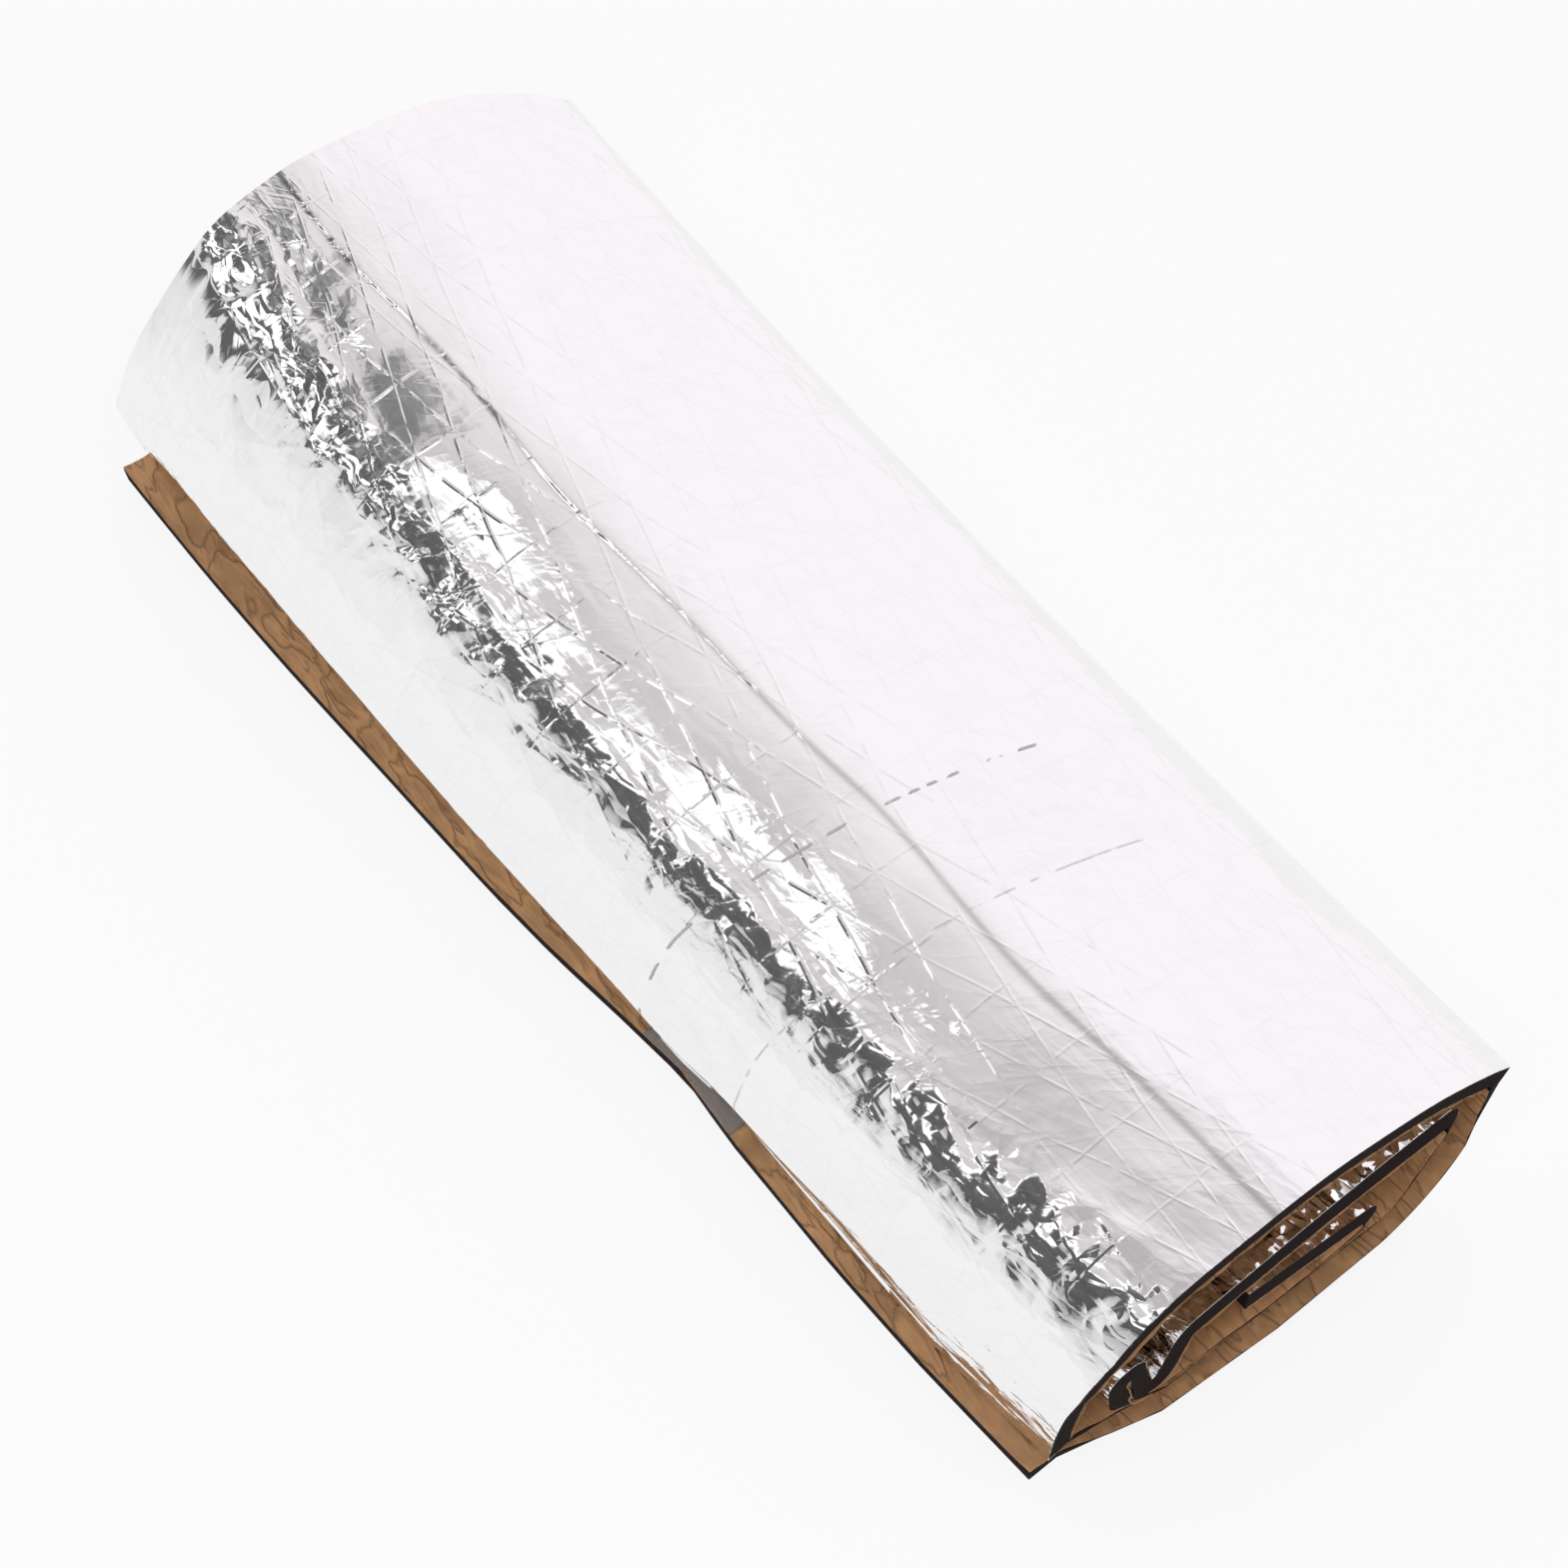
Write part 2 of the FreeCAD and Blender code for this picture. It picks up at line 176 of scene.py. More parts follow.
def bend_chain(section, sizes):
    """The section's bends as groups of arcs that pass into each other: name, (y, z, radius, turn)."""
    mat = thickness(sizes)
    turn = mat + sizes.turn_gap
    fold = mat + sizes.fold_inside
    flap_fold = (mat + turn) / 2
    edge = section.shoulder_left + section.shoulder_radius + section.heel_out
    tip = (section.tip_right, section.tip_height, fold, 1)
    shoulder = (-section.shoulder_left, section.shoulder_height, section.shoulder_radius, 1)
    heel = (-(edge - fold), turn + fold, fold, 1)
    rise = section.second_turn_radius
    second_turn = (section.second_lift, turn + rise, rise, 1)
    second_tip = (section.second_lift + rise + section.second_reach - fold, section.second_height, fold, 1)
    droop = (-section.droop_left, section.second_height + fold - section.droop_radius,
             section.droop_radius, 1)
    doubled = section.notch_radius + mat + turn
    notch = (-section.notch_left, 2 * turn + doubled, section.notch_radius, -1)
    flap = (-(edge - mat - flap_fold - section.flap_room), section.flap_height, flap_fold, 1)
    core = (section.second_lift + section.core_shift, 2 * turn + fold, fold, 1)
    lift = section.floor_turn_radius
    return [
        [("floor_turn", (section.floor_right, lift, lift, 1))],
        [("tip", tip), ("crown", bow(tip, shoulder, section.crown_bow)), ("shoulder", shoulder),
         ("flank", bow(shoulder, heel, section.flank_bow)), ("heel", heel)],
        [("second_turn", second_turn)],
        [("second_tip", second_tip), ("second_arc", bow(second_tip, droop, section.second_bow)),
         ("droop", droop)],
        [("notch", notch)],
        [("flap", flap)],
        [("under", notch[:2] + (doubled, 1))],
        [("core", core)],
    ]


def headed_bends(groups, last_heading):
    """Each bend with its headings in and out, as one growing angle along the path."""
    bends, leaving = [], []
    for group, following in zip(groups, groups[1:] + [None]):
        bends += group
        for (_, one), (_, two) in zip(group, group[1:]):
            wide, tight = (one, two) if one[2] > two[2] else (two, one)
            leaving.append(math.atan2(tight[1] - wide[1], tight[0] - wide[0]) + math.pi / 2)
        if following:
            one, two = group[-1][1], following[0][1]
            across, rise = two[0] - one[0], two[1] - one[1]
            lean = (one[3] * one[2] - two[3] * two[2]) / math.hypot(across, rise)
            leaving.append(math.atan2(rise, across) + math.asin(lean))
    leaving.append(last_heading)
    heading, headed = 0.0, []
    for (name, bend), leave in zip(bends, leaving):
        swing = (leave - heading) * bend[3] % (2 * math.pi)
        headed.append((name, bend, heading, heading + swing * bend[3]))
        heading = headed[-1][3]
    return headed


def section_rows(section, sizes, mitre, fineness=1):
    """Points of the foil's face round one section, the way out of the mat and the heading at each.

    A straight run goes evenly from one bend to the next. On a bend the point is the middle plus the
    radius times the outward side of its heading. At a mitred fold the reach grows with one over the
    cosine of the angle from the nearer end of the bend, which sharpens the fold to a corner.
    """
    groups = bend_chain(section, sizes)
    headed = headed_bends(groups, math.pi - sizes.core_rise)
    edge = section.shoulder_left + section.shoulder_radius + section.heel_out + section.tail_out
    points, outs, runs, headings = [np.array([[-edge, 0.0]])], [np.array([[0.0, -1.0]])], [0], [0.0]

    def straight(end, out, count, number):
        u = np.linspace(0, 1, count * fineness + 1)[1:, None]
        start, start_out = points[-1][-1], outs[-1][-1]
        points.append(start + (end - start) * u)
        outs.append(start_out + (out - start_out) * u)
        runs.extend([number] * len(u))
        headings.extend([headings[-1]] * len(u))

    for number, (name, (y, z, radius, turn), enter, leave) in enumerate(headed, start=1):
        angle = np.linspace(enter, leave, BEND_ROWS[name] * fineness + 1)
        side = np.stack([np.sin(angle), -np.cos(angle)], 1)
        if name in ("tip", "heel"):
            half = abs(leave - enter) / 2
            off = np.abs(angle - (enter + leave) / 2)
            side = side * (1 + mitre * (1 / np.cos(half - off) - 1))[:, None]
        bent = np.array([y, z]) + turn * radius * side
        if name in RUN_ROWS:
            straight(bent[0], side[0], RUN_ROWS[name], number - 0.5)
        points.append(bent[1:])
        outs.append(side[1:])
        runs.extend([number] * (len(bent) - 1))
        headings.extend(angle[1:])
    heading = headed[-1][3]
    stop = points[-1][-1] + np.array([math.cos(heading), math.sin(heading)]) * section.core_run
    straight(stop, outs[-1][-1], RUN_ROWS["end"], len(headed) + 0.5)
    return np.concatenate(points), np.concatenate(outs), np.array(runs), np.array(headings)


def far_rows(middle, sizes):
    """The section at the far end, worked out from the middle one.

    A bend keeps its headings, so it is moved, or made of steps as long as its new radius times the
    change of heading. The rise to the tip is as long as the heel needs to lie on the tail.
    """
    points, outs, runs, headings = middle
    far = points.copy()

    def span(first, last):
        rows = np.flatnonzero((runs >= RUN_NUMBER[first]) & (runs <= RUN_NUMBER[last]))
        return np.arange(rows[0] - 1, rows[-1] + 1)

    def straighten(first, last):
        u = np.linspace(0, 1, last - first + 1)[:, None]
        far[first:last + 1] = far[first] + (far[last] - far[first]) * u

    bent = span("crown", "flank")
    middles = (headings[bent][1:] + headings[bent][:-1]) / 2
    starts, radii = np.array(FAR_BOWS).T
    radius = radii[np.searchsorted(starts, np.degrees(middles)) - 1] * MM
    steps = (radius * np.diff(headings[bent]))[:, None] * np.stack([np.cos(middles), np.sin(middles)], 1)
    tip, heel = span("tip", "tip"), span("heel", "heel")
    outer = np.concatenate([[[0.0, 0.0]], np.cumsum(steps, axis=0)])
    drop = (points[heel[-1]] - points[heel[0]]) + outer[-1] + (points[tip[-1]] - points[tip[0]])
    lift_off = points[span("floor_turn", "floor_turn")[-1]]
    way = np.array([math.cos(headings[tip[0]]), math.sin(headings[tip[0]])])
    start = lift_off + way * (points[heel[-1]] - drop - lift_off)[1] / way[1]
    far[tip] += start - points[tip[0]]
    far[bent] = far[tip[-1]] + outer
    far[heel] += far[bent[-1]] - points[heel[0]]
    far[0, 0] = far[heel][:, 0].min() - sizes.far_tail_out
    straighten(0, span("floor_turn", "floor_turn")[0])
    straighten(span("floor_turn", "floor_turn")[-1], tip[0])
    straighten(heel[-1], span("second_turn", "second_turn")[0])
    top = span("second_arc", "second_arc")
    far[top] = (points[top[0]]
                + (points[top] - points[top[0]]) * sizes.far_second_bow / sizes.middle.second_bow)
    inner = np.arange(top[-1], span("under", "under")[-1] + 1)
    far[inner[1:]] += far[top[-1]] - points[top[-1]]
    straighten(inner[-1], span("core", "core")[0])
    return far, outs, runs, headings


# ---- patterns over the flat mat ----

def smooth_step(low, high, value):
    t = np.clip((value - low) / (high - low), 0, 1)
    return t * t * (3 - 2 * t)


def ripple(u, v, size, seed):
    """Soft noise between about -1 and 1: the mean of seven sine waves of seeded direction and length."""
    draw = np.random.default_rng(seed)
    total = 0
    for _ in range(7):
        angle = draw.uniform(0, math.pi)
        wave = size * draw.uniform(0.6, 1.7)
        total = total + np.sin(2 * math.pi * ((u * math.cos(angle) + v * math.sin(angle)) / wave
                                              + draw.uniform()))
    return total / 3.5


def pleats(u, v, angle, pitch, seed, wander=0.35):
    """Straight sharp pleats between 0 and 1: a triangle wave across a direction, with wandering lines."""
    a = math.radians(angle)
    across = (u * math.sin(a) + v * math.cos(a)) / pitch
    across = across + wander * ripple(u, v, pitch * 3.5, seed)
    return np.abs(2 * (across - np.floor(across)) - 1)


# How far the cuts stand out past the roll's length, along the path, in millimetres: bend, part of the
# bend, foil at the near end, how much further the liner stands out there, whole mat at the far end.
CUTS = [
    ("start", 0, -7, 0.5, -2.5),
    ("floor_turn", -22, -7, 1, -3),
    ("floor_turn", -19, -3, 2.5, -2),
    ("floor_turn", -16, 0.5, 3.5, 0),
    ("floor_turn", -8, 3.5, 3.5, 0),
    ("floor_turn", 0, 3.5, 3.5, 0),
    ("floor_turn", 14, 2, 3, 0),
    ("tip", 0, 0, 1, -5),
    ("tip", 14, 0, 0.3, -8),
    ("crown", 4, 0, 0.1, -4),
    ("crown", 12, 0, 0, 0),
    ("shoulder", 30, 0, 0, 0),
    ("shoulder", 48, -1.5, 0, 0.5),
    ("shoulder", 57, -3, 0, 1.5),
    ("flank", 6, -4, 0.3, 0),
    ("flank", 16, -5, 0.5, -3.5),
    ("heel", 6, -6, 1, -5),
    ("heel", 12, -6.5, 1, -5),
    ("second_turn", -14, -2, 3, -3),
    ("second_turn", 8, 1, 3, 0),
    ("second_tip", 8, 0, 2, 0),
    ("second_arc", 30, 0.5, 1.2, 0),
    ("flap", 5, 0, 1, 0),
    ("under", 5, -2, 2.5, 0),
    ("core", -6, 1, 3, 0),
    ("core", 10, 2, 1, 0),
    ("end", 0, 2, 1, 0),
]

# The long crease: place along the roll and distance before the shoulder, millimetres.
CREASE = [(-250, 21), (-174, 36), (-106, 42), (-36, 44.5), (20, 49), (72, 49.5), (138, 46), (202, 42.5),
          (250, 40)]

# How far the tail's edge and the heel are pulled in under the roll: place along the roll, tail, heel,
# in millimetres.
PULLED_IN = [(-250, 0.5, 6), (-193, 0.8, 11), (-144, 1.8, 12), (-83, 3.8, 12), (-22, 5, 10), (11, 6.5, 9),
             (44, 9.2, 7.5), (75, 11, 6.5), (100, 7.8, 8), (128, 6, 6), (156, 4, 3.5), (200, 2.2, 0),
             (250, 1.5, 0)]
NEAR_CUT_LENGTH = 0.15  # how far from the ends the slanting cuts begin to pull the mat along
FAR_CUT_LENGTH = 0.12
HEEL_LOW, HEEL_HIGH = 0.010, 0.036  # heights between which the pull at the heel fades out
TAIL_ROWS, HEEL_ROWS = 9, 12  # rows over which the two pulls fade out along the path
TAIL_FOOT = 0.8 * MM  # how much further in the foil's edge of the tail is than the paper's


class Winding:
    """The mat's way through the roll at every place along it.

    A point of the outer face is the blend of the three sections' points with the weights of the
    parabola through near end, middle and far end. A deeper face lies that depth further in.
    """

    def __init__(self, sizes, fineness=1):
        self.sizes = sizes
        self.half = sizes.roll_length / 2
        self.fineness = fineness
        middle = section_rows(sizes.middle, sizes, 0.3 * sizes.tip_mitre, fineness)
        parts = [section_rows(sizes.near, sizes, sizes.tip_mitre, fineness), middle,
                 far_rows(middle, sizes)]
        self.points = [part[0] for part in parts]
        self.outs = [part[1] for part in parts]
        self.runs = parts[1][2]
        steps = np.linalg.norm(np.diff(self.points[1], axis=0), axis=1)
        self.around = np.concatenate([[0.0], np.cumsum(steps)])
        rows = np.arange(len(self.runs))
        places = [self.row_at(name, offset) for name, offset, *_ in CUTS]
        self.cut_foil, self.cut_liner, self.cut_far = (
            np.interp(rows, places, [row[column] * MM for row in CUTS]) for column in (2, 3, 4))

    def row_at(self, bend, offset):
        """The row at an offset from where a bend starts."""
        first = {"start": 0, "end": len(self.runs) - 1}.get(bend)
        if first is None:
            first = np.flatnonzero(self.runs == RUN_NUMBER[bend])[0] - 1
        return first + offset * self.fineness

    def rows_of(self, first, last):
        """Rows from the start of one bend to the end of another."""
        return self.row_at(first, 0), np.flatnonzero(self.runs == RUN_NUMBER[last])[-1] + 1

    def along(self, rows, x):
        """Distance along the path, for each row and column."""
        return self.around[rows][:, None] + 0 * x

    def blend(self, parts, rows, x):
        t = x / self.half
        near, middle, far = (part[rows][:, None, :] for part in parts)
        return (near * (t * (t + 1) / 2)[..., None] + middle * (1 - t * t)[..., None]
                + far * (t * (t - 1) / 2)[..., None])

    def swell(self, rows, x):
        """Height of the outer turn's slow waves, outward."""
        v = self.along(rows, x)
        first, last = self.rows_of("tip", "heel")
        start, stop = self.around[first], self.around[last]
        on = smooth_step(start, start + 0.02, v) * (1 - smooth_step(stop - 0.03, stop, v))
        waves = 0.5 * MM * ripple(x, v * 1.6, 0.13, 3) + 0.22 * MM * ripple(x, v, 0.05, 4)
        return on * waves

    def beside_crease(self, v, x):
        """Distance from the long crease beside the shoulder, along the path."""
        start = self.around[self.rows_of("shoulder", "shoulder")[0]]
        places, offs = np.array(CREASE).T * MM
        middle = start - np.interp(x, places, offs) + 0.0012 * np.sin(x * 55)
        return v - middle

    def tuck(self, rows, x, t):
        """How far the tail's edge is drawn in: most at the tape, and a little more at its foot."""
        places, tail, _ = np.array(PULLED_IN).T * MM
        weight = 1 - smooth_step(0, TAIL_ROWS * self.fineness, rows)[:, None]
        return weight * (np.interp(x, places, tail) + TAIL_FOOT * (1 - t))

    def heel_in(self, rows, x, z):
        """How far the heel stands back from the tail below the flank."""
        places, _, heel = np.array(PULLED_IN).T * MM
        first, last = self.rows_of("flank", "heel")
        weight = (rows >= first) * (1 - smooth_step(last, last + HEEL_ROWS * self.fineness, rows))
        return weight[:, None] * (1 - smooth_step(HEEL_LOW, HEEL_HIGH, z)) * np.interp(x, places, heel)

    def place(self, rows, x, depth, lift=0.0):
        """Points on the face at a depth, for rows and for x as columns or for each row and column."""
        x = np.broadcast_to(x, (len(rows), np.shape(x)[-1]))
        base = self.blend(self.points, rows, x)
        out = self.blend(self.outs, rows, x)
        shift = self.swell(rows, x) + lift
        yz = base + (shift - depth)[..., None] * out
        t = depth / thickness(self.sizes)
        yz[..., 0] += self.tuck(rows, x, t) + self.heel_in(rows, x, yz[..., 1])
        near_cut = self.cut_foil[rows][:, None] + t * self.cut_liner[rows][:, None]
        near_part = smooth_step(self.half - NEAR_CUT_LENGTH, self.half, x)
        far_part = smooth_step(self.half - FAR_CUT_LENGTH, self.half, -x)
        moved = x + near_part * near_cut - far_part * self.cut_far[rows][:, None]
        return np.concatenate([moved[..., None], yz], axis=2)


# ---- meshes ----

# Columns of points along the roll: the even step, and the places near each end in millimetres.
SHEET_STEP, SHEET_ENDS = 0.012, [0, 2, 5, 9, 14, 20, 28, 38]
FOIL_STEP, FOIL_ENDS = 0.00205, [0, 1, 2.2]
LINER_STEP, LINER_ENDS = 0.016, [0, 1.5, 3, 5, 7.5, 11, 16, 23, 32]


def flat_map(across, along):
    """Places on the flat mat in metres, for columns and rows."""
    return np.stack(np.broadcast_arrays(across, along[:, None]), 2).reshape(-1, 2)


def grid_faces(ids):
    """Four-sided faces of a grid of vertex numbers; they face out of the mat."""
    a, b = ids[:-1, :-1].ravel(), ids[1:, :-1].ravel()
    c, d = ids[1:, 1:].ravel(), ids[:-1, 1:].ravel()
    return np.stack([a, b, c, d], 1)


def seam_faces(coarse, coarse_x, fine, fine_x):
    """Triangles between a row with few points and a row with many; each short step joins the nearest."""
    middle = (fine_x[1:] + fine_x[:-1]) / 2
    nearest = np.abs(coarse_x[None, :] - middle[:, None]).argmin(1)
    fans = np.stack([coarse[nearest], fine[:-1], fine[1:]], 1)
    switch = np.searchsorted(nearest, np.arange(1, len(coarse_x)))
    links = np.stack([coarse[:-1], fine[switch], coarse[1:]], 1)
    return np.concatenate([fans, links])


def make_mesh(name, points, faces, uv, sharp=35.0):
    """A smooth mesh from points, lists of faces and the flat place of each point in metres."""
    mesh = bpy.data.meshes.new(name)
    corners = np.concatenate([block.ravel() for block in faces])
    sizes = np.concatenate([np.full(len(block), block.shape[1]) for block in faces])
    starts = np.concatenate([[0], np.cumsum(sizes)[:-1]])
    mesh.vertices.add(len(points))
    mesh.vertices.foreach_set("co", points.astype(np.float32).ravel())
    mesh.loops.add(len(corners))
    mesh.loops.foreach_set("vertex_index", corners.astype(np.int32))
    mesh.polygons.add(len(sizes))
    mesh.polygons.foreach_set("loop_start", starts.astype(np.int32))
    mesh.polygons.foreach_set("loop_total", sizes.astype(np.int32))
    mesh.update(calc_edges=True)
    layer = mesh.uv_layers.new(name="flat_mat")
    layer.data.foreach_set("uv", uv[corners].astype(np.float32).ravel())
    mesh.shade_smooth()
    mesh.set_sharp_from_angle(angle=math.radians(sharp))
    if mesh.validate(verbose=False):
        raise RuntimeError("%s has faulty faces" % name)
    piece = bpy.data.objects.new(name, mesh)
    bpy.context.scene.collection.objects.link(piece)
    return piece


def end_columns(half, inner_step, ends):
    """Places along the roll: close together at both ends, and evenly spread between them."""
    ends = np.array(ends) * MM
    count = int(round((2 * half - 2 * ends[-1]) / inner_step))
    middle = np.linspace(-half + ends[-1], half - ends[-1], count + 1)
    return np.concatenate([-half + ends[:-1], middle, (half - ends[:-1])[::-1]])


def solid_sheet(name, winding, columns, top, bottom, cut_rows):
    """A closed sheet between two faces, given as functions of rows and columns."""
    rows = np.arange(len(winding.runs))
    count, width = len(rows), len(columns)
    upper, lower = top(rows, columns), bottom(rows, columns)
    shares = np.linspace(0, 1, cut_rows + 2)[1:-1]
    first = np.arange(count * width).reshape(count, width)
    second = first + count * width
    flat = flat_map(columns, winding.around)
    points = [upper.reshape(-1, 3), lower.reshape(-1, 3)]
    loop = np.concatenate([np.stack([0 * rows, rows], 1)[:-1],
                           np.stack([np.arange(width), np.full(width, count - 1)], 1)[:-1],
                           np.stack([np.full(count, width - 1), rows], 1)[::-1][:-1],
                           np.stack([np.arange(width), np.zeros(width, int)], 1)[::-1][:-1]])
    ring_top, ring_bottom = first[loop[:, 1], loop[:, 0]], second[loop[:, 1], loop[:, 0]]
    rings, uv = [ring_top], [flat, flat]
    start = 2 * count * width
    for share in shares:
        points.append(points[0][ring_top] * (1 - share) + points[1][ring_bottom - count * width] * share)
        uv.append(flat[ring_top])
        rings.append(np.arange(start, start + len(loop)))
        start += len(loop)
    rings.append(ring_bottom)
    walls = []
    for one, two in zip(rings, rings[1:]):
        walls.append(np.stack([np.roll(one, -1), one, two, np.roll(two, -1)], 1))
    faces = [grid_faces(first), grid_faces(second)[:, ::-1]] + walls
    return make_mesh(name, np.concatenate(points), faces, np.concatenate(uv))


# Pleats of the crumpled foil: degrees from the roll's axis, pitch, seed of their wandering.
COARSE_PLEATS = [(16, 0.021, 11), (-15, 0.019, 12), (88, 0.027, 13)]
FINE_PLEATS = [(31, 0.0085, 14), (-38, 0.0095, 15), (62, 0.011, 16)]
COARSE_HEIGHT, FINE_HEIGHT, FOIL_LIFT = 0.42 * MM, 0.16 * MM, 0.02 * MM
# How crumpled the foil is everywhere, and how much more on the shoulder and near the two ends.
CALM, SHOULDER_MORE, FAR_MORE, NEAR_MORE = 0.05, 0.55, 0.4, 0.2
INSIDE_FACETS = 4.0  # strength of the drawn facets inside the roll at the near end
FADE_ROWS = 10  # rows over which the crumples begin and end, at the tip and the heel


def crumple(winding, rows, x):
    """Height of the foil's crumples above the foam: sharp pleats along the scrim's three directions,
    strong on the shoulder and near both ends, faint on the crown and the flank."""
    v = winding.along(rows, x)
    first, last = winding.rows_of("shoulder", "shoulder")
    start, stop = winding.around[first], winding.around[last]
    shoulder = smooth_step(start - 0.012, start + 0.012, v) * (1 - smooth_step(stop - 0.03, stop + 0.006, v))
    far_end = (1 - smooth_step(-0.235, -0.10, x)) * smooth_step(start - 0.03, start + 0.01, v)
    near_end = smooth_step(0.17, 0.245, x) * smooth_step(start - 0.045, start, v)
    strength = CALM + SHOULDER_MORE * shoulder + FAR_MORE * far_end + NEAR_MORE * near_end
    coarse, fine = (sum(pleats(x, v, *family) for family in families)
                    for families in (COARSE_PLEATS, FINE_PLEATS))
    height = COARSE_HEIGHT * coarse + FINE_HEIGHT * fine
    return np.clip(strength, 0, 1.1) * height + FOIL_LIFT, np.clip(strength, 0, 1)


def make_foil(winding):
    """The facing: a fine grid over the outer turn that is seen, a coarse one elsewhere and inside."""
    sizes = winding.sizes
    coarse_x = end_columns(winding.half, SHEET_STEP, SHEET_ENDS)
    fine_x = end_columns(winding.half, FOIL_STEP, FOIL_ENDS)
    rows = np.arange(len(winding.runs))
    first, last = winding.rows_of("tip", "heel")
    blocks = [(rows[:first], coarse_x), (rows[first:last], fine_x), (rows[last:], coarse_x)]
    points, uv, ids, masks, beside, start = [], [], [], [], [], 0
    for block, x in blocks:
        wide_x = np.broadcast_to(x, (len(block), len(x)))
        height, mask = crumple(winding, block, wide_x)
        fade = (smooth_step(first, first + FADE_ROWS, block)
                * (1 - smooth_step(last - FADE_ROWS, last - 1, block)))[:, None]
        points.append(winding.place(block, x, 0.0, height * fade).reshape(-1, 3))
        uv.append(flat_map(x, winding.around[block]))
        ids.append(np.arange(start, start + mask.size).reshape(mask.shape))
        inside = smooth_step(winding.half - 0.1, winding.half, x) * (block[:, None] >= last)
        masks.append(np.maximum(mask * fade, INSIDE_FACETS * inside).ravel())
        beside.append(winding.beside_crease(winding.around[block][:, None], wide_x).ravel())
        start += mask.size
    inner = winding.place(rows, coarse_x, sizes.foil)
    inner_ids = np.arange(start, start + len(rows) * len(coarse_x)).reshape(len(rows), -1)
    points.append(inner.reshape(-1, 3))
    uv.append(flat_map(coarse_x, winding.around))
    masks.append(np.zeros(inner_ids.size))
    beside.append(np.ones(inner_ids.size))
    faces = [grid_faces(block) for block in ids]
    faces.append(grid_faces(inner_ids)[:, ::-1])
    faces.append(seam_faces(ids[0][-1], coarse_x, ids[1][0], fine_x)[:, ::-1])
    faces.append(seam_faces(ids[2][0], coarse_x, ids[1][-1], fine_x))
    left = np.concatenate([block[:, 0] for block in ids])
    right = np.concatenate([block[:, -1] for block in ids])
    for outer, under in ((left, inner_ids[:, 0]), (right[::-1], inner_ids[::-1, -1]),
                         (ids[0][0][::-1], inner_ids[0][::-1]), (ids[2][-1], inner_ids[-1])):
        faces.append(np.stack([outer[1:], outer[:-1], under[:-1], under[1:]], 1))
    piece = make_mesh("foil_skin", np.concatenate(points), faces, np.concatenate(uv), 60.0)
    for name, values in (("crumpled", masks), ("beside_crease", beside)):
        piece.data.attributes.new(name, "FLOAT", "POINT").data.foreach_set(
            "value", np.concatenate(values).astype(np.float32))
    return piece


def make_foam(winding):
    """The foam between the foil and the liner; its faces follow the outer turn's slow waves."""
    sizes = winding.sizes
    columns = end_columns(winding.half, SHEET_STEP, SHEET_ENDS)
    return solid_sheet("foam_core", winding, columns,
                       lambda rows, x: winding.place(rows, x, sizes.foil),
                       lambda rows, x: winding.place(rows, x, sizes.foil + sizes.foam), cut_rows=3)


# How far the liner comes away from the foam at the ends, along the path, in millimetres.
LINER_LOOSE = [("floor_turn", 7, 0.3), ("tip", 12, 0.4), ("crown", 20, 1.0), ("crown", 45, 2.2),
               ("shoulder", 20, 3.0), ("shoulder", 50, 2.0), ("flank", 15, 0.6), ("heel", 12, 0.2),
               ("second_turn", 10, 0.3), ("second_tip", 8, 0.8), ("second_arc", 20, 1.0),
               ("droop", 4, 0.8), ("flap", 5, 0.2), ("core", 5, 0.2)]


def liner_lift(winding, rows, x):
    """How far the liner stands off the foam: loose near both ends, and pleated across the cut."""
    v = winding.along(rows, x)
    places = [winding.row_at(name, offset) for name, offset, _ in LINER_LOOSE]
    loose = np.interp(rows, places, [amount for _, _, amount in LINER_LOOSE])[:, None] * MM
    near = smooth_step(winding.half - 0.03, winding.half, np.abs(x))
    edge = smooth_step(winding.half - 0.009, winding.half, np.abs(x))
    folds = pleats(x, v, 4, 0.024, 21, 0.5) * 0.6 + pleats(x, v, -9, 0.011, 22, 0.5) * 0.4
    return near * loose * (0.35 + 0.9 * folds) + edge * 1.3 * MM * folds


def make_liner(winding):
    """The release liner: a thin sheet on the foam's inner face, loose and pleated at the cut ends."""
    sizes = winding.sizes
    columns = end_columns(winding.half, LINER_STEP, LINER_ENDS)
    depth = sizes.foil + sizes.foam

    def face(extra):
        def points(rows, x):
            x = np.broadcast_to(x, (len(rows), len(x)))
            return winding.place(rows, x, depth + extra, -liner_lift(winding, rows, x))
        return points

    return solid_sheet("liner_sheet", winding, columns, face(0.0), face(sizes.liner), cut_rows=0)


TAPE_OFF = 0.2  # place along the tape's own map where it leaves the foil for the paper
TAPE_COLUMNS, TAPE_TAIL_ROWS = 25, 6
TAPE_LIFT, TAPE_TAIL_LIFT, TAPE_THICKNESS = 0.22 * MM, 0.25 * MM, 0.08 * MM


